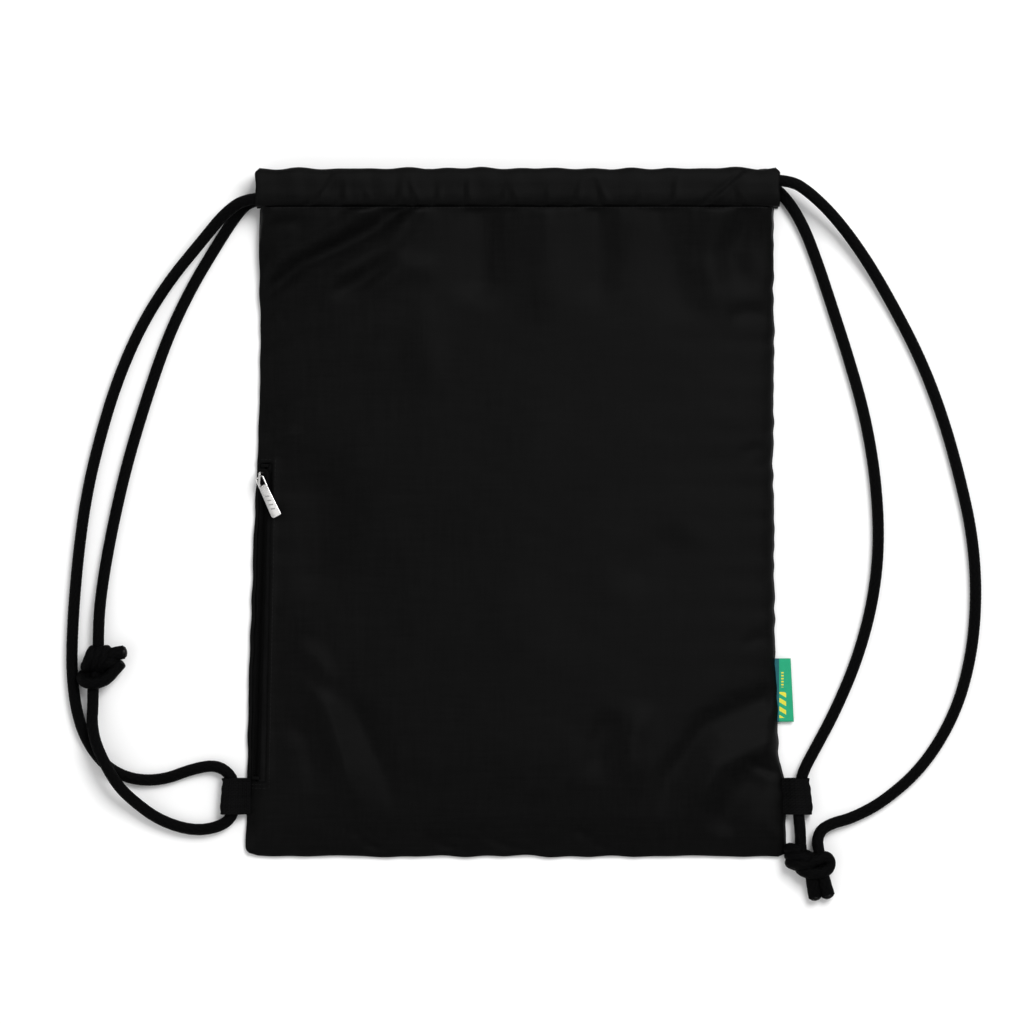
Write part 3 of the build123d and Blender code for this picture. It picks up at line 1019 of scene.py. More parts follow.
@dataclass
class BraidedRope:
    """Round braided rope, drawn along any line."""

    diameter: float = 0.0075
    sides: int = 32
    step: float = 0.0008
    round_strands: int = 8
    along_strands: float = 175.0
    relief: float = 0.035

    def surface(self, line: Array, widen: float = 1.0, step: float | None = None) -> Surface:
        """Make the rope's surface along a line.

        Args:
            line: points that it follows.
            widen: how much wider than high a pulled-flat piece is.
            step: distance between rings, or None for the usual one.

        Returns:
            The closed surface.
        """
        points = even_steps(line, step or self.step)
        firsts, seconds = line_frames(points)
        along = np.concatenate([[0], np.cumsum(np.linalg.norm(np.diff(points, axis=0), axis=1))])
        turn = np.arange(self.sides) / self.sides
        over = turn[None, :] * self.round_strands + along[:, None] * self.along_strands
        under = turn[None, :] * self.round_strands - along[:, None] * self.along_strands
        first_wave, second_wave = np.sin(math.pi * over), np.sin(math.pi * under)
        height = np.where(first_wave * second_wave > 0, abs(first_wave), abs(second_wave))
        radius = self.diameter / 2 * (1 + self.relief * (height - 0.7))
        angle = 2 * math.pi * turn
        side = (radius * np.cos(angle))[:, :, None] * firsts[:, None, :] * widen
        rise = (radius * np.sin(angle))[:, :, None] * seconds[:, None, :]
        rings = points[:, None, :] + side + rise
        count = len(points)
        vertices = np.vstack([rings.reshape(-1, 3), points[0], points[-1]])
        faces = tube_faces(count, self.sides)
        u_pairs = np.stack([turn, turn + 1 / self.sides], axis=1)
        corners = np.zeros((count - 1, self.sides, 4, 2))
        corners[:, :, 0, 0] = corners[:, :, 3, 0] = u_pairs[:, 0]
        corners[:, :, 1, 0] = corners[:, :, 2, 0] = u_pairs[:, 1]
        corners[:, :, 0, 1] = corners[:, :, 1, 1] = along[:-1, None]
        corners[:, :, 2, 1] = corners[:, :, 3, 1] = along[1:, None]
        caps = np.tile([[0.0, 0.0]], (self.sides * 6, 1))
        return Surface(vertices, faces, np.vstack([corners.reshape(-1, 2), caps]))


@dataclass
class MeltedEnd:
    """Cut end of a cord, sealed with a flame into a hard, slightly lumpy cap."""

    radius: float = 0.0039
    length: float = 0.0034
    sides: int = 20
    rings: int = 7
    seed: int = 5

    def surface(self, tip: Array, run: Array) -> Surface:
        """Make the cap.

        Args:
            tip: centre of the cord's cut end.
            run: direction out of the cord.

        Returns:
            The cap's closed surface.
        """
        run = run / np.linalg.norm(run)
        first = np.cross([0.0, 0.0, 1.0], run)
        first /= np.linalg.norm(first)
        second = np.cross(run, first)
        rng = np.random.default_rng(self.seed)
        lumps = rng.uniform(0.93, 1.06, (self.rings, self.sides))
        share = np.linspace(0, 1, self.rings)
        profile = np.sqrt(np.clip(1 - (share * 0.97) ** 4, 0, 1))
        angle = np.arange(self.sides) / self.sides * 2 * math.pi
        points = []
        for ring in range(self.rings):
            radius = self.radius * profile[ring] * lumps[ring]
            centre = tip + run * (self.length * share[ring] - 0.0014)
            points.append(
                centre
                + np.cos(angle)[:, None] * radius[:, None] * first
                + np.sin(angle)[:, None] * radius[:, None] * second
            )
        vertices = np.vstack([*points, tip - run * 0.0014, tip + run * (self.length - 0.0014)])
        faces = tube_faces(self.rings, self.sides)
        corners = np.zeros((sum(len(face) for face in faces), 2))
        return Surface(vertices, faces, corners)


def mm_line(name: str, *places: Point) -> Array:
    """Read a smooth line through given places in millimetres.

    Args:
        name: what the line is for.
        *places: control points, in millimetres.

    Returns:
        Points along the line, in metres.
    """
    return line_through(name, [(x * MM, y * MM, z * MM) for x, y, z in places])


def winding(centre: Point, reach: Point, drift: Point, turns: float, start: float) -> Array:
    """Wind a cord round a knot's core.

    Args:
        centre: middle of the first turn, in millimetres.
        reach: half size of the winding in each direction, in millimetres.
        drift: how far each turn steps on, in millimetres.
        turns: number of turns.
        start: angle where it begins, in turns.

    Returns:
        Points along the winding, in metres.
    """
    turn = np.linspace(0, turns, int(turns * 40) + 1)
    angle = 2 * math.pi * (turn + start)
    points = np.array(centre)[None, :] + turn[:, None] * np.array(drift)[None, :]
    points[:, :2] += np.cos(angle)[:, None] * np.array(reach[:2])[None, :]
    points[:, 2] += reach[2] * np.sin(angle)
    return points * MM


@dataclass
class Knot:
    """Bulky overhand knot with two short tails, wound from the cord itself."""

    name: str
    cad_node: str
    windings: list[tuple[Array, float]]
    tails: list[Array]
    tail_widening: float = 1.2

    def build(self, rope: BraidedRope, finishes: Finishes) -> list[Piece]:
        """Make the knot and the melted ends of its tails.

        Args:
            rope: the rope that it is tied in.
            finishes: the materials.

        Returns:
            The knot and its ends.
        """
        cords = [*self.windings, *((tail, self.tail_widening) for tail in self.tails)]
        wound = Surface.merge([rope.surface(line, widen, 0.0007) for line, widen in cords])
        caps = Surface.merge(
            [
                MeltedEnd(seed=5 + number).surface(tail[-1], tail[-1] - tail[-3])
                for number, tail in enumerate(self.tails)
            ]
        )
        return [
            seat_piece(wound.piece(self.name, finishes["braid"]), self.cad_node),
            seat_piece(caps.piece(self.name + "_melted_ends", finishes["cut_end"])),
        ]


@dataclass
class DrawCords:
    """The two cords: their free strands, their runs through the casings, and their knots."""

    finishes: Finishes
    rope: BraidedRope = field(default_factory=BraidedRope)
    mouth_x: float = 0.1703
    left_lane_y: float = 0.205
    right_lane_y: float = 0.2167
    front_z: float = 0.0189
    back_z: float = 0.0045

    def build(self) -> list[Piece]:
        """Make both cords.

        Returns:
            Every piece of them.
        """
        left_knot = self._left_knot().build(self.rope, self.finishes)
        right_knot = self._right_knot().build(self.rope, self.finishes)
        pieces = [*left_knot, *right_knot]
        left, right = (-self.mouth_x, self.left_lane_y), (self.mouth_x, self.right_lane_y)
        front, back = (self.front_z,), (self.back_z,)
        for name, route, exit_point, length, knot in (
            ("left_cord_outer", LEFT_OUTER_ROUTE, left + front, 0.694, left_knot),
            ("left_cord_inner", LEFT_INNER_ROUTE, left + back, 0.327, left_knot),
            ("right_cord_outer", RIGHT_OUTER_ROUTE, right + front, 0.535, right_knot),
            ("right_cord_inner", RIGHT_INNER_ROUTE, right + back, 0.475, right_knot),
        ):
            pieces.append(self._strand(name, route, exit_point, length, knot))
        for name, node, route in (
            ("left_cord_in_casings", "left_cord_casing_run", LEFT_CASING_ROUTE),
            ("right_cord_in_casings", "right_cord_casing_run", RIGHT_CASING_ROUTE),
        ):
            run = self.rope.surface(mm_line(name, *route), step=0.002)
            self._flatten(run.points)
            pieces.append(seat_piece(run.piece(name, self.finishes["braid"]), node))
        return pieces

    def _flatten(self, points: Array) -> None:
        """Press a cord flat where the gathered casings squeeze it.

        Args:
            points: the cord's vertices, moved in place.
        """
        between = 0.5 * (self.front_z + self.back_z)
        middle = np.where(points[:, 2] > between, self.front_z, self.back_z)
        squeezed = smoothstep((0.152 - abs(points[:, 0])) / 0.02)
        points[:, 2] = middle + (points[:, 2] - middle) * (1 - 0.32 * squeezed)

    def _strand(
        self, name: str, route: list[Point], exit_point: Point, length: float, knot: list[Piece]
    ) -> Piece:
        """Make one free strand.

        Args:
            name: the strand's name.
            route: control points of its line.
            exit_point: where it leaves its casing; not used.
            length: its real length; not used.
            knot: the knot at its far end; not used.

        Returns:
            The strand.
        """
        line = mm_line(name, *route)
        strand = self.rope.surface(line).piece(name, self.finishes["braid"])
        seat_piece(strand, name + "_strand")
        LOG.info("%s is %.1f mm long", name, line_length(line) / MM)
        return strand

    def _left_knot(self) -> Knot:
        """Describe the knot where the left cord's two ends meet.

        Returns:
            The knot.
        """
        ribs = winding((-269.8, -95.6, 8), (1.3, 5.4, 4.2), (-4.3, 0, 0), 2.6, 0.0)
        core = mm_line("left_core", (-277.5, -118, 7), (-277.5, -112, 7), (-275, -104, 7.5), (-274, -86, 7))
        high_tail = mm_line(
            "left_high_tail", (-274, -97, 8), (-268, -93.5, 10.4), (-262, -92, 10.6), (-257, -91.2, 9.6)
        )
        low_tail = mm_line(
            "left_low_tail",
            (-265, -103.5, 4.2), (-274, -105, 3.9), (-283, -106, 4.6), (-285, -109, 8),
            (-281.5, -111.4, 11.9), (-274, -111.6, 12.3), (-267.5, -108.5, 11.8), (-263, -103, 9.8),
            (-259.3, -98.8, 8.4),
        )
        ridge = mm_line(
            "left_ridge", (-275, -101, 9), (-269, -98.2, 11.2), (-264.5, -97, 10.8), (-262, -97.5, 8)
        )
        windings = [(ribs, 1.0), (core, 1.0), (ridge, 1.15)]
        return Knot("left_cord_knot", "left_knot", windings, [high_tail, low_tail])

    def _right_knot(self) -> Knot:
        """Describe the knot where the right cord's two ends meet.

        Returns:
            The knot.
        """
        ridges = winding((184.6, -220.5, 8), (7.2, -2.0, 4.2), (0.4, -4.6, 0), 2.9, 0.25)
        lobe = mm_line(
            "right_lobe",
            (184, -233, 7), (188, -230.5, 11.6), (195, -226.5, 12.2), (201.5, -224.3, 10.6),
            (204.6, -228.5, 8), (203, -233.6, 9.4), (196, -235.8, 11.6), (188, -235, 11.4),
            (183.5, -232, 7.5), (186, -229, 4.2),
        )
        core = mm_line("right_core", (185, -216, 7), (185.5, -224, 7.5), (190, -232, 8), (192, -238, 8))
        entry = mm_line("right_entry", (196, -215, 7), (197, -222, 7), (199, -230, 6.5), (199, -240, 6.5))
        near_tail = mm_line("right_near_tail", (192, -234, 8), (193.2, -243, 7.6), (194.8, -251.6, 4.9))
        far_tail = mm_line("right_far_tail", (198.5, -234, 7.4), (200.6, -243, 7.2), (203.2, -250.4, 4.9))
        windings = [(ridges, 1.0), (lobe, 1.05), (core, 1.0), (entry, 1.0)]
        return Knot("right_cord_knot", "right_knot", windings, [near_tail, far_tail])


# ---------------------------------------------------------------- bag
@dataclass(frozen=True)
class Crease:
    """A soft ridge or valley in the cloth. Sizes and places are in millimetres."""

    height: float
    width: float
    line: tuple[tuple[float, float], ...]
    open_start: bool = False
    open_end: bool = False

    def lift(self, x: Array, y: Array) -> Array:
        """Give how far the crease raises the cloth.

        Args:
            x: places across, in millimetres.
            y: places along, in millimetres.

        Returns:
            Heights in millimetres, negative in a valley.
        """
        knots = np.array(self.line, float)
        sizes = np.linalg.norm(np.diff(knots, axis=0), axis=1)
        starts = np.concatenate([[0], np.cumsum(sizes)])
        nearest = np.full(np.shape(x), 1e9)
        share = np.zeros(np.shape(x))
        for number, size in enumerate(sizes):
            run = (knots[number + 1] - knots[number]) / size
            along = np.clip((x - knots[number][0]) * run[0] + (y - knots[number][1]) * run[1], 0, size)
            away = np.hypot(x - knots[number][0] - run[0] * along, y - knots[number][1] - run[1] * along)
            closer = away < nearest
            nearest = np.where(closer, away, nearest)
            share = np.where(closer, (starts[number] + along) / starts[-1], share)
        taper = np.ones(np.shape(x))
        if not self.open_start:
            taper = taper * smoothstep(share / 0.35)
        if not self.open_end:
            taper = taper * smoothstep((1 - share) / 0.35)
        return self.height * taper * np.exp(-((nearest / self.width) ** 2))


FRONT_CREASES: tuple[Crease, ...] = (
    Crease(1.5, 7, ((-168, 147), (-155, 166), (-139, 172), (-119, 183), (-101, 196)), True, True),
    Crease(-1.6, 6, ((-164, 144), (-139, 164), (-116, 174), (-94, 185), (-78, 197)), True, True),
    Crease(1.3, 7, ((-142, 140), (-122, 151), (-103, 162), (-83, 172), (-72, 188), (-66, 197)), False, True),
    Crease(-1.2, 7, ((-128, 140), (-101, 152), (-77, 170)), False, False),
    Crease(1.0, 8, ((-106, 139), (-88, 151), (-72, 160), (-45, 161)), False, False),
    Crease(-1.5, 14, ((-22, 192), (-22, 165), (-24, 132)), True, False),
    Crease(-0.9, 4, ((-168, 185), (-152, 189), (-134, 190)), True, False),
    Crease(0.7, 12, ((20, 197), (22, 160), (18, 120)), True, False),
    Crease(-0.9, 10, ((54, 198), (56, 168), (50, 130)), True, False),
    Crease(0.6, 12, ((-60, 150), (-62, 110), (-52, 70)), False, False),
    Crease(-0.8, 13, ((96, 198), (100, 160), (110, 120)), True, False),
    Crease(0.8, 10, ((132, 197), (126, 160), (134, 118)), True, False),
    Crease(-0.7, 3.5, ((-170, 129), (-160, 131), (-148, 128)), True, False),
    Crease(-0.6, 3.5, ((-170, 110), (-158, 109), (-147, 113)), True, False),
    Crease(-0.6, 3.5, ((-170, 67), (-160, 69), (-150, 66)), True, False),
    Crease(0.6, 4.5, ((-170, 47), (-155, 49), (-138, 55)), True, False),
    Crease(-1.9, 20, ((-132, 48), (-126, 0), (-134, -70)), False, False),
    Crease(1.4, 7, ((-158, -118), (-140, -112), (-126, -126), (-118, -150), (-110, -178), (-98, -203))),
    Crease(-1.4, 8, ((-112, -110), (-98, -145), (-86, -172), (-80, -200))),
    Crease(-1.0, 8, ((-150, -128), (-136, -150), (-130, -185))),
    Crease(-1.6, 9, ((172, -118), (148, -128), (125, -138), (100, -172), (94, -207)), True, False),
    Crease(1.4, 8, ((172, -148), (150, -157), (130, -166), (111, -203)), True, False),
    Crease(-0.9, 3.2, ((176, -174), (160, -167), (146, -161)), True, False),
    Crease(-0.45, 5, ((168, 128), (152, 131), (134, 126)), True, False),
    Crease(-0.3, 4, ((169, 40), (156, 42), (142, 37)), True, False),
    Crease(-0.35, 4, ((171, -85), (158, -82), (144, -88)), True, False),
    Crease(-1.0, 5, ((-108, -200), (-104, -210), (-90, -221)), False, True),
    Crease(-0.9, 5, ((-62, -206), (-50, -216), (-34, -223)), False, True),
    Crease(-0.9, 5, ((-28, -206), (-12, -215), (6, -222)), False, True),
    Crease(-0.8, 5, ((34, -202), (44, -210), (57, -219)), False, True),
    Crease(0.4, 22, ((-20, -30), (10, -90), (50, -120))),
    Crease(-0.8, 14, ((112, -6), (88, -30), (62, -52))),
    Crease(-1.2, 10, ((66, -128), (54, -150), (52, -178))),
    Crease(1.0, 9, ((84, -120), (74, -150), (76, -186))),
    Crease(-1.6, 12, ((150, -176), (140, -192), (128, -212)), True, False),
    Crease(1.0, 8, ((-150, -84), (-132, -96), (-120, -116))),
    Crease(-1.2, 11, ((150, 190), (138, 170), (150, 140)), True, False),
)

# Wedges where the front casing is pinched by its stitching: place, lean, depth and reach.
CASING_PUCKERS: tuple[tuple[float, float, float, float], ...] = (
    (-158, 0.2, 0.25, 6), (-137, 0.75, 1.6, 11), (-117, 0.15, 1.5, 9), (-99, -0.2, 0.7, 6),
    (-81, 0.2, 1.4, 9), (-68, -0.25, 1.3, 8), (-56, 0.2, 1.2, 8), (-36, 0.1, 1.4, 9),
    (-14, 0.35, 1.2, 8), (-4, -0.2, 1.0, 7), (16, 0.15, 0.8, 6), (34, 0.3, 1.3, 9),
    (54, -0.25, 1.4, 9), (75, 0.2, 0.8, 6), (97, 0.25, 1.4, 10), (119, 1.2, 1.7, 17),
    (144, -0.3, 0.9, 7), (160, 0.3, 0.25, 6),
)


@dataclass
class BagShape:
    """The laid-out bag's outline and the height of its cloth. Everything here is in millimetres."""

    hem_y: float = 199.5
    bottom_y: float = -225.0
    hem_z: float = 18.9
    crown: float = 17.6
    corner_radius: float = 6.0
    cloth: float = 0.8
    window_top_y: float = 32.4
    window_bottom_y: float = -175.9
    fold_top_x: float = -160.2
    fold_bottom_x: float = -164.2
    seam_strip: float = 2.3
    row_step: float = 1.72
    column_step: float = 1.8

    def left(self, y: Array) -> Array:
        """Give the left side seam's place at each height.

        Args:
            y: places along.

        Returns:
            Places across.
        """
        heights = (-225, -214, -149, -83, -31, -5, 34, 75, 199.5)
        places = (-177.9, -177.8, -176.5, -175.2, -173.2, -172.0, -170.2, -168.6, -168.2)
        short_wave, long_wave = smooth_noise(y * 0, y, 17, 3, 5), smooth_noise(y * 0, y, 60, 4, 5)
        return np.interp(y, heights, places) + 0.2 * short_wave + 0.25 * long_wave

    def right(self, y: Array) -> Array:
        """Give the right side seam's place at each height.

        Args:
            y: places along.

        Returns:
            Places across.
        """
        heights = (-225, -214, -182, -173, -163, -151, -123, -57, 34, 100, 178, 199.5)
        places = (176.7, 176.5, 175.3, 174.7, 171.4, 170.9, 170.0, 168.2, 167.6, 168.1, 167.0, 167.6)
        waves = 0.36 * smooth_noise(y * 0, y, 16, 8, 5) + 0.25 * smooth_noise(y * 0, y, 55, 9, 5)
        return np.interp(y, heights, places) + waves

    def fold(self, y: Array) -> Array:
        """Give the place of the folded cloth edge beside the zip at each height."""
        share = (self.window_top_y - y) / (self.window_top_y - self.window_bottom_y)
        return self.fold_top_x + np.clip(share, -0.4, 1.2) * (self.fold_bottom_x - self.fold_top_x)

    def seam_height(self, y: Array) -> Array:
        """Give the side seam's height over the floor: low, and half way up where the mouth begins."""
        return 2.8 + 5.2 * smoothstep((y - 110) / 75) + 0.25 * np.sin(y / 3.1) * smoothstep((190 - y) / 30)

    def grid(self) -> tuple[Array, Array, slice, slice]:
        """Lay out the panel's vertices.

        Returns:
            X and Y of each vertex, and the rows and columns of faces in the zip window.
        """
        rows = np.arange(self.bottom_y, self.hem_y + 1.4, self.row_step)
        low = int(np.argmin(abs(rows - self.window_bottom_y)))
        high = int(np.argmin(abs(rows - self.window_top_y)))
        rows[low], rows[high] = self.window_bottom_y, self.window_top_y
        strip, window, rest = 4, 5, int(330 / self.column_step)
        left, right, fold = self.left(rows), self.right(rows), self.fold(rows)
        inset = self.corner_radius
        near = np.clip(inset - (rows - self.bottom_y), 0, inset)
        round_off = inset - np.sqrt(inset**2 - near**2)
        left, right = left + 1.4 * round_off, right - round_off
        shares = [np.linspace(0, 1, n, endpoint=False) for n in (strip, window)] + [np.linspace(0, 1, rest)]
        edges = [(left, left + self.seam_strip), (left + self.seam_strip, fold), (fold, right)]
        x = np.hstack([a[:, None] + s[None, :] * (b - a)[:, None] for (a, b), s in zip(edges, shares)])
        y = np.repeat(rows[:, None], x.shape[1], axis=1)
        from_bottom = y - self.bottom_y
        scallop = 0.55 * smooth_noise(x, x * 0, 46, 12, 6) + 0.25 * np.sin(x / 4.2)
        y = y + scallop * np.exp(-from_bottom / 5.0)
        return x, y, slice(low, high), slice(strip, strip + window)

    def edge_distance(self, x: Array, y: Array) -> tuple[Array, Array, Array]:
        """Give the distance from the left seam, the right seam and the bottom seam.

        Args:
            x: places across.
            y: places along.

        Returns:
            The three distances, none below zero.
        """
        return (
            np.maximum(x - self.left(y), 0),
            np.maximum(self.right(y) - x, 0),
            np.maximum(y - self.bottom_y, 0),
        )

    def front_height(self, x: Array, y: Array) -> Array:
        """Give the height of the front panel's outside.

        Args:
            x: places across.
            y: places along.

        Returns:
            Heights over the floor.
        """
        from_left, from_right, from_bottom = self.edge_distance(x, y)
        wall = 2.8 + 0.547 * np.minimum(from_left, 10.6)
        left = wall + 9.2 * (1 - np.exp(-np.maximum(from_left - 10.6, 0) / 48))
        right = 2.8 + 5.0 * (1 - np.exp(-from_right / 2.8)) + 10.2 * (1 - np.exp(-from_right / 50))
        fill = (np.minimum(left, right) - 2.8) / 14.8
        near_hem = smoothstep((y - 160) / 39.5)
        edge = np.minimum(from_left, from_right)
        fill = fill + (1 - fill) * near_hem**2 * (1 - np.exp(-edge / 2.2))
        top = self.crown + (self.hem_z - self.crown) * near_hem
        seam = self.seam_height(y)
        height = seam + fill * (top - seam)
        foot = np.interp(from_bottom, [0, 4, 12, 25, 50, 90], [2.7, 4.6, 7.8, 11.4, 15.2, 22.0])
        height = height - np.log1p(np.exp((height - foot) * 1.1)) / 1.1
        calm = smoothstep(edge / 9) * smoothstep(from_bottom / 7) * smoothstep((self.hem_y - y) / 5 + 0.25)
        folds = 2.3 * sum(crease.lift(x, y) for crease in FRONT_CREASES)
        ripple = 0.2 * smooth_noise(x, y, 95, 21) + 0.05 * smooth_noise(x, y, 30, 22)
        gather = self._hem_gather(x, y)
        pucker = 0.3 * np.sin(y / 2.6 + 1.3 * np.sin(y / 9)) * np.exp(-edge / 3.5)
        pucker = pucker + 0.25 * np.sin(x / 2.9 + 1.1 * np.sin(x / 11)) * np.exp(-from_bottom / 3.0)
        height = height + (folds + ripple) * calm + gather + pucker * smoothstep(edge + 0.4)
        return np.maximum(height, 2.2) + self._zip_lip(x, y)

    def _hem_gather(self, x: Array, y: Array) -> Array:
        """Give the small gathers that hang from the hem's stitching.

        Args:
            x: places across.
            y: places along.

        Returns:
            Lifts of the cloth.
        """
        reach = np.exp(-np.maximum(self.hem_y - y, 0) / 9.0)
        waves = 0.45 * smooth_noise(x, x * 0, 15, 31, 6) + 0.35 * smooth_noise(x, x * 0, 38, 32, 6)
        return waves * reach * smoothstep((self.hem_y - y) / 2.5)

    def _zip_lip(self, x: Array, y: Array) -> Array:
        """Give the lift of the folded edges round the zip window.

        Args:
            x: places across.
            y: places along.

        Returns:
            Lifts of the cloth.
        """
        beside = np.exp(-(((x - self.fold(y)) / 3.4) ** 2)) * (x > self.fold(y) - 0.2)
        inside = smoothstep((self.window_top_y + 5 - y) / 5)
        inside = inside * smoothstep((y - self.window_bottom_y + 4) / 5)
        above = np.exp(-(((y - self.window_top_y) / 2.6) ** 2)) * (y > self.window_top_y - 0.1)
        over = smoothstep((self.fold(y) + 3 - x) / 3)
        return 1.35 * beside * inside + 1.1 * above * over * (1 - beside)

    def back_height(self, x: Array, y: Array) -> Array:
        """Give the height of the back panel's inside, which turns up to the seams at its edges.

        Args:
            x: places across.
            y: places along.

        Returns:
            Heights over the floor.
        """
        from_left, from_right, from_bottom = self.edge_distance(x, y)
        edge = np.minimum(from_left, from_right)
        side = np.exp(-((edge / 3.0) ** 1.5))
        seam = self.seam_height(y) - self.cloth - 0.1
        rise = (seam - 1.25) * side + 0.65 * np.exp(-((from_bottom / 3.0) ** 1.5)) * (1 - side)
        ripple = 0.18 * (1 + smooth_noise(x, y, 70, 41)) * smoothstep(edge / 15)
        return 1.1 + rise + np.clip(ripple, 0, 0.6)


@dataclass
class StitchLine:
    """Row of separate thread stitches. Sizes are in millimetres."""

    stitch: float = 2.3
    gap: float = 0.7
    thread: float = 0.42

    def surface(self, line: Array, lift: float = 0.1) -> Surface:
        """Make the stitches along a line.

        Args:
            line: points of the line, in metres.
            lift: height of the thread's centre over the line, in millimetres.

        Returns:
            The stitches' surface.
        """
        places = even_steps(line, 0.0002)
        pitch = int(round((self.stitch + self.gap) / 0.2))
        size = int(round(self.stitch / 0.2))
        starts = range(0, len(places) - size, pitch)
        return Surface.merge([self._stitch(places[n], places[n + size], lift * MM) for n in starts])

    def _stitch(self, start: Array, end: Array, lift: float) -> Surface:
        """Make one stitch.

        Args:
            start: its first needle hole.
            end: its second needle hole.
            lift: height of its middle over the holes.

        Returns:
            The stitch's surface.
        """
        run = (end - start) / np.linalg.norm(end - start)
        side = np.cross([0.0, 0.0, 1.0], run)
        side /= np.linalg.norm(side)
        up = np.cross(run, side)
        rings = []
        for share, size in ((-0.04, 0.35), (0.12, 1.0), (0.5, 1.1), (0.88, 1.0), (1.04, 0.35)):
            arch = lift * (1 - (2 * share - 1) ** 4) - self.thread * 0.4 * MM * (abs(share - 0.5) > 0.5)
            centre = start + (end - start) * share + up * arch
            radius = self.thread / 2 * size * MM
            for step in range(6):
                angle = step * math.pi / 3
                rings.append(centre + side * math.cos(angle) * radius + up * math.sin(angle) * radius * 0.8)
        faces = grid_faces(5, 6, wrap=True) + [(5, 4, 3, 2, 1, 0), (24, 25, 26, 27, 28, 29)]
        return Surface(np.array(rings), faces, np.zeros((sum(map(len, faces)), 2)))


@dataclass
class BagShell:
    """Front and back panels, with their seams' stitching."""

    finishes: Finishes
    shape: BagShape = field(default_factory=BagShape)

    def build(self) -> list[Piece]:
        """Make the panels and the stitching.

        Returns:
            The pieces.
        """
        return [self._front(), self._back(), self._lining(), self._hem_stitches(), self._zip_stitches()]

    def _front(self) -> Piece:
        """Make the front panel, with its zip window cut out.

        Returns:
            The panel.
        """
        x, y, window_rows, window_columns = self.shape.grid()
        z = self.shape.front_height(x, y)
        rows, columns = x.shape
        faces = []
        for row in range(rows - 1):
            for column in range(columns - 1):
                in_rows = window_rows.start <= row < window_rows.stop
                if in_rows and window_columns.start <= column < window_columns.stop:
                    continue
                here = row * columns + column
                faces.append((here, here + 1, here + columns + 1, here + columns))
        return self._panel("front_panel_cloth", "front_panel", np.dstack([x, y, z]), faces)

    def _back(self) -> Piece:
        """Make the back panel.

        Returns:
            The panel.
        """
        x, y, _, _ = self.shape.grid()
        x, y = x[::2, ::2], y[::2, ::2]
        z = self.shape.back_height(x, y)
        return self._panel("back_panel_cloth", "back_panel", np.dstack([x, y, z]), grid_faces(*x.shape))

    def _panel(self, name: str, node: str, places: Array, faces: Faces) -> Piece:
        """Make one panel.

        Args:
            name: the panel's name.
            node: the CAD node that it stands for.
            places: its vertices by row and column, in millimetres.
            faces: its faces.

        Returns:
            The panel.
        """
        panel = mesh_object(name, places.reshape(-1, 3) * MM, faces, self.finishes["satin"])
        loose_corners(panel)
        thicken(panel, self.shape.cloth * MM)
        seat_piece(panel, node)
        return panel

    def _lining(self) -> Piece:
        """Make the zip pocket's lining, which lies inside the bag.

        Returns:
            The lining.
        """
        low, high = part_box("pocket_lining")
        x, y = np.meshgrid(np.linspace(low.x, high.x, 60), np.linspace(low.y, high.y, 100))
        z = low.z + 0.0006 + 0.00015 * smooth_noise(x, y, 0.03, 51)
        places = np.dstack([x, y, z]).reshape(-1, 3)
        lining = mesh_object("zip_pocket_lining", places, grid_faces(100, 60), self.finishes["lining"])
        thicken(lining, 0.0004)
        seat_piece(lining, "pocket_lining")
        return lining

    def _on_front(self, x: Array, y: Array) -> Array:
        """Put places on the front panel's outside.

        Args:
            x: places across, in millimetres.
            y: places along, in millimetres.

        Returns:
            Points, in metres.
        """
        return np.stack([x, y, self.shape.front_height(x, y)], axis=1) * MM

    def _hem_stitches(self) -> Piece:
        """Sew the front casing's hem.

        Returns:
            The thread.
        """
        x = np.linspace(-166, 166, 700)
        line = self._on_front(x, np.full_like(x, self.shape.hem_y - 0.9))
        stitches = StitchLine().surface(line)
        return self._thread("hem_stitches", stitches)

    def _zip_stitches(self) -> Piece:
        """Sew the folded edges round the zip, with a double row at the bottom.

        Returns:
            The thread.
        """
        shape = self.shape
        y = np.linspace(shape.window_top_y + 2.2, shape.window_bottom_y - 4.4, 500)
        rows = [StitchLine().surface(self._on_front(shape.fold(y) + 2.0, y))]
        for height in (shape.window_top_y + 2.2, shape.window_bottom_y - 2.0, shape.window_bottom_y - 4.4):
            ends = np.array([height])
            x = np.linspace(float(shape.left(ends)[0]) + 2.4, float(shape.fold(ends)[0]) + 2.0, 60)
            rows.append(StitchLine().surface(self._on_front(x, np.full_like(x, height))))
        return self._thread("zip_window_stitches", Surface.merge(rows))

    def _thread(self, name: str, stitches: Surface) -> Piece:
        """Make a thread piece.

        Args:
            name: the piece's name.
            stitches: its surface.

        Returns:
            The piece.
        """
        return seat_piece(stitches.piece(name, self.finishes["thread"]))


def loose_corners(piece: Piece) -> None:
    """Delete vertices that no face uses.

    Args:
        piece: the mesh object to clean.
    """
    mesh = piece.data
    used = np.zeros(len(mesh.vertices), bool)
    corner = np.zeros(len(mesh.loops), np.int32)
    mesh.loops.foreach_get("vertex_index", corner)
    used[corner] = True
    bench = bmesh.new()
    bench.from_mesh(mesh)
    bench.verts.ensure_lookup_table()
    spare = [bench.verts[i] for i in np.flatnonzero(~used)]
    bmesh.ops.delete(bench, geom=spare, context="VERTS")
    bench.to_mesh(mesh)
    bench.free()


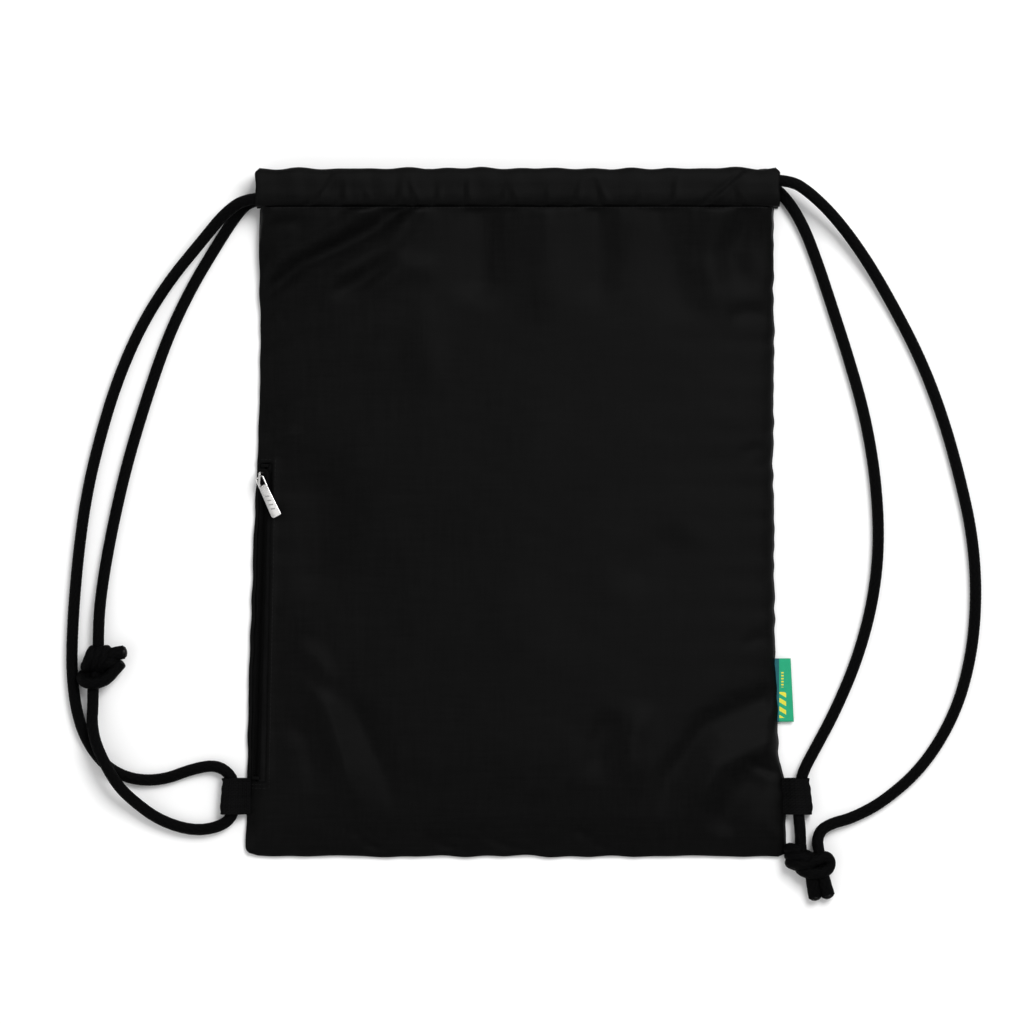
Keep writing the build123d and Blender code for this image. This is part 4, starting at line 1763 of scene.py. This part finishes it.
@dataclass
class Casing:
    """Hem channel that holds the two cords. Sizes are in millimetres."""

    name: str
    node: str
    finishes: Finishes
    middle_z: float
    pinch_z: float
    seed: int
    in_front: bool
    low_y: float = 199.5
    height: float = 25.0
    half_length: float = 170.6
    half_depth: float = 4.4
    wall: float = 0.55
    column_step: float = 1.7
    section_points: int = 64

    def build(self) -> Piece:
        """Make the casing.

        Returns:
            The piece.
        """
        turn = np.arange(self.section_points) / self.section_points
        share = 0.5 - 0.5 * np.cos(2 * math.pi * turn)
        columns = int(2 * self.half_length / self.column_step) + 1
        across = np.linspace(-1, 1, columns)
        share = np.repeat(share[None, :], columns, axis=0)
        outer_side = np.repeat((turn < 0.5)[None, :], columns, axis=0)
        end = self.half_length - 2.6 * smoothstep((share - 0.8) / 0.2) ** 2 + 0.35 * np.sin(share * 9)
        x = across[:, None] * end
        y = self.low_y + share * (self.height + self._top_wave(x))
        y = y - 0.5 * (1 - share) * smoothstep((abs(x) - 160) / 10)
        full = (1 - abs(2 * share - 1) ** 3) ** (1 / 2.2)
        valley = 1 - 0.03 * np.exp(-(((y - 211) / 2.6) ** 2))
        half = self.half_depth * full * valley
        middle = self.pinch_z + (self.middle_z - self.pinch_z) * smoothstep(share / 0.35)
        z = middle + np.where(outer_side, half, -half)
        ripple = 0.2 * smooth_noise(x, y, 34, self.seed) + 0.2 * smooth_noise(x, y * 0.3, 15, self.seed + 1)
        visible = outer_side if self.in_front else ~outer_side
        z = z + np.where(visible, ripple, -0.3 * ripple) * full
        if self.in_front:
            z = z - np.where(outer_side, self._puckers(x, y), 0) * smoothstep(share / 0.04)
        z = np.maximum(z, 0.15)
        places = np.dstack([x, y, z]).reshape(-1, 3)
        faces = [tuple(reversed(face)) for face in grid_faces(columns, self.section_points, wrap=True)]
        casing = mesh_object(self.name, places * MM, faces, self.finishes["satin"])
        thicken(casing, self.wall * MM)
        seat_piece(casing, self.node)
        return casing

    def _top_wave(self, x: Array) -> Array:
        """Give the waviness of the folded top edge."""
        return 0.5 * smooth_noise(x, x * 0, 22, self.seed + 2, 6) - 0.45 * abs(np.sin(x / 13.0 + self.seed))

    def _puckers(self, x: Array, y: Array) -> Array:
        """Give the depth of the wedges where the stitching pinches the cloth.

        Args:
            x: places across.
            y: places along.

        Returns:
            Depths in millimetres.
        """
        depth = np.zeros_like(x)
        rise = y - self.low_y
        for place, lean, deep, reach in CASING_PUCKERS:
            left = 1 - smoothstep(rise / (2.6 * reach))
            width = 0.9 + 1.5 * left
            off = (x - place - lean * rise) / width
            depth = depth + 1.2 * deep * left * (np.exp(-(off**2)) - 0.5 * np.exp(-((off - 2.0) ** 2)))
        return np.tanh(depth) * 1.0


@dataclass
class FoldedStrap:
    """Strap or ribbon folded double, with its ends in a side seam."""

    name: str
    node: str
    slot_name: str
    material: Material
    path: Array
    start: Array
    end: Array
    thickness: float
    flat: tuple[float, float]
    rib_pitch: float = 0.0016
    rib_depth: float = 0.00007
    edge_curl: float = 0.0
    fold_wave: float = 0.0
    columns: int = 40

    def build(self) -> Piece:
        """Make the strap.

        Returns:
            The piece.
        """
        line = even_steps(self.path, 0.0004)
        along = np.concatenate([[0], np.cumsum(np.linalg.norm(np.diff(line, axis=0), axis=1))])
        run = np.gradient(line, axis=0)
        run /= np.linalg.norm(run, axis=1, keepdims=True)
        outwards = np.stack([run[:, 1], -run[:, 0]], axis=1)
        width = self.end - self.start
        share = np.linspace(0, 1, self.columns)
        rib = self.rib_depth * np.sin(2 * math.pi * along / self.rib_pitch)
        lift = rib[:, None] - self.edge_curl * (abs(2 * share - 1) ** 6)[None, :]
        base = self.start[None, None, :] + share[None, :, None] * width[None, None, :]
        places = np.repeat(base, len(line), axis=0)
        reach = abs(line[:, 0]).max()
        wave = self.fold_wave * smooth_noise(share * 24, share * 0, 9, 91, 6)
        side = math.copysign(1, line[:, 0].sum())
        grown = smoothstep(abs(line[:, 0]) / reach * 2 - 1)[:, None] * wave[None, :] * side
        places[:, :, 0] += line[:, None, 0] + outwards[:, None, 0] * lift + grown
        places[:, :, 2] += line[:, None, 1] + outwards[:, None, 1] * lift
        faces = grid_faces(len(line), self.columns)
        pairs = np.dstack(np.meshgrid(share * float(np.linalg.norm(width)), along))
        corners = pairs.reshape(-1, 2)[np.array(faces)].reshape(-1, 2)
        strap = mesh_object(self.name, places.reshape(-1, 3), faces, self.material, corners)
        thicken(strap, self.thickness, 0.0)
        seat_piece(strap, self.node)
        return strap


@dataclass
class SideFittings:
    """The webbing loops that the cords pass through, and the label."""

    finishes: Finishes
    shape: BagShape = field(default_factory=BagShape)

    def build(self) -> list[Piece]:
        """Make the loops and the label.

        Returns:
            The pieces.
        """
        return [self._loop("left_loop", -1.0), self._loop("right_loop", 1.0), self._label()]

    def _loop(self, node: str, side: float) -> Piece:
        """Make one webbing loop.

        Args:
            node: the CAD node that it stands for.
            side: -1 on the left and 1 on the right.

        Returns:
            The loop.
        """
        low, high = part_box(node)
        seam = (self.shape.left if side < 0 else self.shape.right)(np.array([-173.8, -197.4])) * MM
        reach = max(abs(low.x), abs(high.x)) - abs(float(seam.mean())) - 0.0012
        top, bottom = 0.0103, 0.00075
        knots = [
            (-0.003, 0.0034), (0.0002, 0.0026), (0.003, bottom), (reach - 0.0062, bottom),
            (reach - 0.0002, bottom + 0.0002), (reach, 0.0055), (reach - 0.0002, top - 0.0002),
            (reach - 0.0062, top), (0.0058, top), (0.0012, 0.0068), (-0.0024, 0.0046),
        ]
        flat_line = line_through(node, [(u, 0.0, w) for u, w in knots])[:, [0, 2]]
        flat_line[:, 0] *= side
        start = np.array([float(seam[0]), -0.1738, 0.0])
        end = np.array([float(seam[1]), -0.1974, 0.0])
        return FoldedStrap(
            f"{node}_webbing", node, "webbing", self.finishes["webbing"], flat_line, start, end,
            0.0013, (0.0242, 0.047), edge_curl=0.00025, fold_wave=0.0004,
        ).build()

    def _label(self) -> Piece:
        """Make the folded label in the right seam.

        Returns:
            The label.
        """
        low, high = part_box("side_label")
        seam = self.shape.right(np.array([-95.6, -137.0])) * MM
        reach = high.x - float(seam.mean()) - 0.0004
        knots = [
            (-0.003, 0.00262), (0.0, 0.00262), (reach - 0.001, 0.0026), (reach, 0.00262),
            (reach, 0.00305), (reach - 0.001, 0.0031), (0.0, 0.0030), (-0.003, 0.0030),
        ]
        flat_line = line_through("label", [(u, 0.0, w) for u, w in knots])[:, [0, 2]]
        start = np.array([float(seam[0]), low.y + 0.0003 + 0.0415, 0.0])
        end = np.array([float(seam[1]) + 0.0004, low.y + 0.0003, 0.0])
        return FoldedStrap(
            "side_label_ribbon", "side_label", "label_weave", self.finishes["label"], flat_line,
            start, end, 0.00028, (0.042, 0.0225), rib_pitch=0.0009, rib_depth=0.00002,
        ).build()


# ---------------------------------------------------------------- zip
@dataclass
class ZipPlane:
    """The zip's own directions: along it, towards the front panel, and out of the bag."""

    middle: Array
    run: Array
    front: Array
    normal: Array

    @classmethod
    def on_wall(
        cls, joint_axis: Point, top: Point = (-0.1643294, 0.0324, 0.0056909), slope: float = 30.0
    ) -> "ZipPlane":
        """Lay the plane on the leaning side wall.

        Args:
            joint_axis: direction in which the slider opens the zip.
            top: middle of the tape's outside at the zip's upper end.
            slope: the wall's lean, in degrees.

        Returns:
            The plane.
        """
        run = np.array(joint_axis, float)
        run /= np.linalg.norm(run)
        level = np.array([run[1], -run[0], 0.0])
        normal = level * math.sin(math.radians(slope)) + np.array([0, 0, math.cos(math.radians(slope))])
        return cls(np.array(top), run, np.cross(normal, run), normal)

    def place(self, along: Array, across: Array, out: Array) -> Array:
        """Turn places in the zip's own directions into the frame.

        Args:
            along: millimetres down the zip.
            across: millimetres towards the front panel.
            out: millimetres out of the bag.

        Returns:
            Points in metres.
        """
        parts = ((along, self.run), (across, self.front), (out, self.normal))
        return self.middle + sum(np.asarray(a, float)[..., None] * MM * d for a, d in parts)


@dataclass
class SideZip:
    """Tapes, coils and end stops. Sizes are in millimetres."""

    plane: ZipPlane
    finishes: Finishes
    length: float = 208.0
    tape: float = 0.5
    coil_start: float = 3.9
    tooth_pitch: float = 1.35

    def build(self) -> list[Piece]:
        """Make the fixed parts of the zip.

        Returns:
            The pieces.
        """
        return [
            self._tape("zip_tape_front", 0.75, 8.4),
            self._tape("zip_tape_back", -5.7, -0.75),
            self._coil("zip_coil_front", 1.0),
            self._coil("zip_coil_back", -1.0),
            self._stop("zip_top_stop", 0.7),
            self._stop("zip_bottom_stop", self.length - 3.0),
        ]

    def _tape(self, node: str, near: float, far: float) -> Piece:
        """Make one tape.

        Args:
            node: its CAD node.
            near: its edge furthest from the front panel.
            far: its edge nearest the front panel.

        Returns:
            The tape.
        """
        down, width = np.arange(-2.0, self.length + 2.1, 1.2), np.linspace(near, far, 14)
        along, across = np.meshgrid(down, width, indexing="ij")
        sag = 0.12 * smooth_noise(along, across, 26, 61) - 0.06
        droop = 0.55 * smoothstep((across - 4.4) / 3.0)
        places = self.plane.place(along, across, np.minimum(sag, 0.0) - 0.04 - droop).reshape(-1, 3)
        places[:, 2] = np.maximum(places[:, 2], 0.0023)
        faces = [tuple(reversed(face)) for face in grid_faces(*along.shape)]
        tape = mesh_object(node + "_cloth", places, faces, self.finishes["tape"])
        tape.data.update()
        up = sum(polygon.normal.z for polygon in tape.data.polygons)
        if up < 0:
            tape.data.flip_normals()
        thicken(tape, self.tape * MM)
        return seat_piece(tape, node)

    def _coil(self, node: str, side: float) -> Piece:
        """Make one row of nylon coil.

        Args:
            node: its CAD node.
            side: 1 by the front panel and -1 by the side seam.

        Returns:
            The coil.
        """
        turns = (self.length - 2 * self.coil_start) / self.tooth_pitch
        turn = np.linspace(0, turns, int(turns * 14))
        angle = 2 * math.pi * turn
        along = self.coil_start + turn * self.tooth_pitch + (self.tooth_pitch / 2 if side < 0 else 0)
        across = side * (1.62 + 1.12 * np.cos(angle))
        line = self.plane.place(along, across, 1.08 + 0.78 * np.sin(angle))
        yarn = BraidedRope(diameter=0.00058, sides=6, relief=0.0)
        coil = yarn.surface(line, step=0.00045)
        return seat_piece(coil.piece(node + "_teeth", self.finishes["nylon"]), node)

    def _stop(self, node: str, start: float) -> Piece:
        """Make one end stop.

        Args:
            node: its CAD node.
            start: its upper edge, down the zip.

        Returns:
            The stop.
        """
        plane, half, size = self.plane, 2.8, 2.2
        outline = [(start, -half), (start + size, -half), (start + size, half), (start, half)]
        piece = extrude_loop(
            node + "_clamp", outline, plane.middle + plane.normal * 0.02 * MM,
            (plane.run, plane.front, plane.normal), 2.0, 0.45, self.finishes["nylon"],
        )
        return seat_piece(piece, node)


def rounded_outline(corners: list[tuple[float, float, float]], steps: int = 7) -> Outline:
    """Round the corners of a flat outline.

    Args:
        corners: place and corner radius of each corner, in order.
        steps: points on each rounded corner.

    Returns:
        The outline, in the corners' units.
    """
    outline = []
    count = len(corners)
    for number in range(count):
        here = np.array(corners[number][:2])
        before = np.array(corners[number - 1][:2]) - here
        after = np.array(corners[(number + 1) % count][:2]) - here
        radius = corners[number][2]
        if radius <= 0:
            outline.append(tuple(here))
            continue
        before_unit, after_unit = before / np.linalg.norm(before), after / np.linalg.norm(after)
        half = math.acos(float(np.clip(before_unit.dot(after_unit), -1, 1))) / 2
        back = min(radius / math.tan(half), 0.49 * min(np.linalg.norm(before), np.linalg.norm(after)))
        first, last = here + before_unit * back, here + after_unit * back
        for share in np.linspace(0, 1, steps):
            point = (1 - share) ** 2 * first + 2 * share * (1 - share) * here + share**2 * last
            outline.append((float(point[0]), float(point[1])))
    return outline


@dataclass
class ZipSlider:
    """Slider with two plates, side flanges and an arched bridge. Sizes are in millimetres."""

    plane: ZipPlane
    finishes: Finishes
    middle: float = 10.5
    half_length: float = 6.4
    half_width: float = 4.15
    plate: float = 1.15
    upper_level: float = 2.52
    lower_level: float = -2.12
    bridge_high: float = -4.5
    bridge_low: float = 5.1
    bridge_rise: float = 4.55
    bridge_wall: float = 1.25
    bridge_half: float = 0.7

    def build(self) -> list[Piece]:
        """Make the slider.

        Returns:
            The pieces; the upper plate carries the others.
        """
        upper = self._plate("zip_slider_upper_plate", self.upper_level)
        seat_piece(upper, "zip_slider", "slider")
        others = [
            self._plate("zip_slider_lower_plate", self.lower_level),
            self._flange("zip_slider_front_flange", 1.0),
            self._flange("zip_slider_back_flange", -1.0),
            self._post(),
            self._bridge(),
        ]
        for piece in others:
            seat_piece(piece, body="slider")
        return [upper, *others]

    def _block(self, name: str, outline: Outline, level: float, depth: float, bevel: float) -> Piece:
        """Make a flat block that stands up from a level of the zip.

        Args:
            name: the piece's name.
            outline: its shape, down the zip and across it.
            level: height of its underside over the tape.
            depth: its thickness.
            bevel: width of its rounded edges.

        Returns:
            The block.
        """
        plane = self.plane
        origin = plane.middle + plane.run * self.middle * MM + plane.normal * level * MM
        axes = (plane.run, plane.front, plane.normal)
        # Every block of the slider's body takes the near-black finish that paints shade on it; only the
        # bridge is nickel.
        return extrude_loop(name, outline, origin, axes, depth, bevel, self.finishes["lacquer"])

    def _plate(self, name: str, level: float) -> Piece:
        """Make one plate, which narrows towards the closed end of the zip.

        Args:
            name: the piece's name.
            level: height of its underside over the tape.

        Returns:
            The plate.
        """
        size, width = self.half_length, self.half_width
        outline = rounded_outline(
            [
                (-size, -width * 0.93, 2.6), (-size * 0.1, -width, 3.0), (size, -width * 0.8, 1.8),
                (size, width * 0.8, 1.8), (-size * 0.1, width, 3.0), (-size, width * 0.93, 2.6),
            ]
        )
        return self._block(name, outline, level, self.plate, 0.36)

    def _flange(self, name: str, side: float) -> Piece:
        """Make the side wall that guides one coil.

        Args:
            name: the piece's name.
            side: 1 by the front panel and -1 by the side seam.

        Returns:
            The wall.
        """
        near, far = sorted((side * 3.35, side * 4.1))
        outline = [(-4.6, near), (4.6, near), (4.6, far), (-4.6, far)]
        return self._block(name, outline, 0.32, 2.3, 0.15)

    def _post(self) -> Piece:
        """Make the wedge between the two coils."""
        outline = [(-5.0, -0.26), (-2.0, -0.2), (-2.0, 0.2), (-5.0, 0.26)]
        return self._block("zip_slider_wedge", outline, -1.1, 3.7, 0.1)

    def _bridge(self) -> Piece:
        """Make the arched bridge that holds the pull tab.

        Returns:
            The bridge.
        """
        plane, wall = self.plane, self.bridge_wall
        high, low, top = self.bridge_high, self.bridge_low, self.bridge_rise
        outer = rounded_outline([(high, -0.3, 0), (high, top, 2.2), (low, top, 2.2), (low, -0.3, 0)])
        near, far, under = high + wall, low - wall, top - wall
        inner = rounded_outline([(far, -0.3, 0), (far, under, 0.8), (near, under, 0.8), (near, -0.3, 0)])
        level, half = self.upper_level + self.plate, self.bridge_half
        origin = plane.middle + (plane.run * self.middle + plane.normal * level - plane.front * half) * MM
        origin = origin + plane.front * 2 * half * MM
        axes = (plane.run, plane.normal, -plane.front)
        nickel = self.finishes["nickel"]
        return extrude_loop("zip_slider_bridge", outer + inner, origin, axes, 2 * half, 0.3, nickel)


@dataclass
class PullTab:
    """Pull tab: an eye round the slider's bridge and a long blade. Sizes are in millimetres."""

    plane: ZipPlane
    finishes: Finishes
    hinge: Array
    swivel: float = 26.0
    pitch: float = 8.0
    length: float = 28.3
    eye_half: float = 2.8
    eye_reach: float = 7.0
    end_half: float = 3.75
    thickness: float = 1.35

    def directions(self) -> tuple[Array, Array, Array]:
        """Give the tab's own directions: along it, across it and out of its face.

        Returns:
            The three directions, each of length 1.
        """
        turn, lean = math.radians(self.swivel), math.radians(self.pitch)
        plane = self.plane
        side = plane.front * math.cos(turn) - plane.run * math.sin(turn)
        flat = plane.run * math.cos(turn) + plane.front * math.sin(turn)
        run = flat * math.cos(lean) - plane.normal * math.sin(lean)
        return run, side, np.cross(run, side)

    def build(self) -> list[Piece]:
        """Make the tab.

        Returns:
            The pieces; the blade carries the others.
        """
        run, side, face = self.directions()
        eye = self.eye_reach
        outline = rounded_outline(
            [
                (eye - 1.2, -2.6, 0.6), (eye + 1.0, -3.25, 1.5), (11.0, -3.3, 3.0),
                (self.length, -self.end_half, 2.4), (self.length, self.end_half, 0.9),
                (11.0, 3.3, 3.0), (eye + 1.0, 3.25, 1.5), (eye - 1.2, 2.6, 0.6),
            ]
        )
        low = self.hinge - face * self.thickness / 2 * MM
        blade = extrude_loop(
            "zip_pull_tab_blade", outline, low, (run, side, face), self.thickness, 0.42,
            self.finishes["nickel"],
        )
        seat_piece(blade, "zip_pull_tab", "pull_tab")
        pieces = [blade, self._eye(run, side)]
        pieces.extend(self._grip_bars(run, side, face))
        for piece in pieces[1:]:
            seat_piece(piece, body="pull_tab")
        return pieces

    def _eye(self, run: Array, side: Array) -> Piece:
        """Make the eye's rounded bar, out from the blade and back.

        Args:
            run: direction along the tab.
            side: direction across it.

        Returns:
            The bar.
        """
        half, reach = self.eye_half, self.eye_reach
        knots = [
            (reach + 0.6, -half + 0.2), (reach - 2, -half), (1.2, -half), (0.1, -half),
            (0.0, -half + 1.4), (0.0, half - 1.4), (0.1, half), (1.2, half), (reach - 2, half),
            (reach + 0.6, half - 0.2),
        ]
        flat = line_through("tab_eye", [(a * MM, b * MM, 0.0) for a, b in knots])
        line = self.hinge + flat[:, :1] * run + flat[:, 1:2] * side
        bar = BraidedRope(diameter=0.00115, sides=16, relief=0.0).surface(line, step=0.0003)
        return bar.piece("zip_pull_tab_eye", self.finishes["nickel"])

    def _grip_bars(self, run: Array, side: Array, face: Array) -> list[Piece]:
        """Make plain slanted grip bars on the blade's face.

        Args:
            run: direction along the tab.
            side: direction across it.
            face: direction out of its face.

        Returns:
            The bars.
        """
        bars = []
        for number in range(4):
            start = 12.5 + number * 3.0
            outline = [(start, -1.5), (start + 1.0, -1.5), (start + 2.0, 1.5), (start + 1.0, 1.5)]
            # The bars take dark grey nickel: painted shade that stands in for the shade in the tab's
            # lettering.
            bars.append(
                extrude_loop(
                    f"zip_pull_tab_grip_{number + 1}", outline,
                    self.hinge + face * (self.thickness / 2 - 0.25) * MM, (run, side, face), 0.42,
                    0.14, self.finishes["mark"],
                )
            )
        return bars


def main() -> None:
    """Build the studio and the backpack, piece by piece."""
    logging.basicConfig(level=logging.INFO, format="%(message)s")
    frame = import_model()
    finishes = BackpackFinishes().make(ShaderLibrary())
    Studio().build(finishes["floor"])
    joints = {joint["name"]: joint for joint in frame["joints"]}
    plane = ZipPlane.on_wall(joints["zip_slide"]["axis"])
    hinge = np.array(joints["pull_tab_swing"]["pos_m"], float)
    pieces = [
        *DrawCords(finishes).build(),
        *BagShell(finishes).build(),
        Casing("front_casing_cloth", "front_casing", finishes, 18.9, 18.9, 71, True).build(),
        Casing("back_casing_cloth", "back_casing", finishes, 4.55, 1.0, 81, False).build(),
        *SideFittings(finishes).build(),
        *SideZip(plane, finishes).build(),
        *ZipSlider(plane, finishes).build(),
        *PullTab(plane, finishes, hinge).build(),
    ]
    for piece in pieces:
        LOG.info("%s: %d vertices", piece.name, len(piece.data.vertices))


if __name__ == "__main__":
    main()
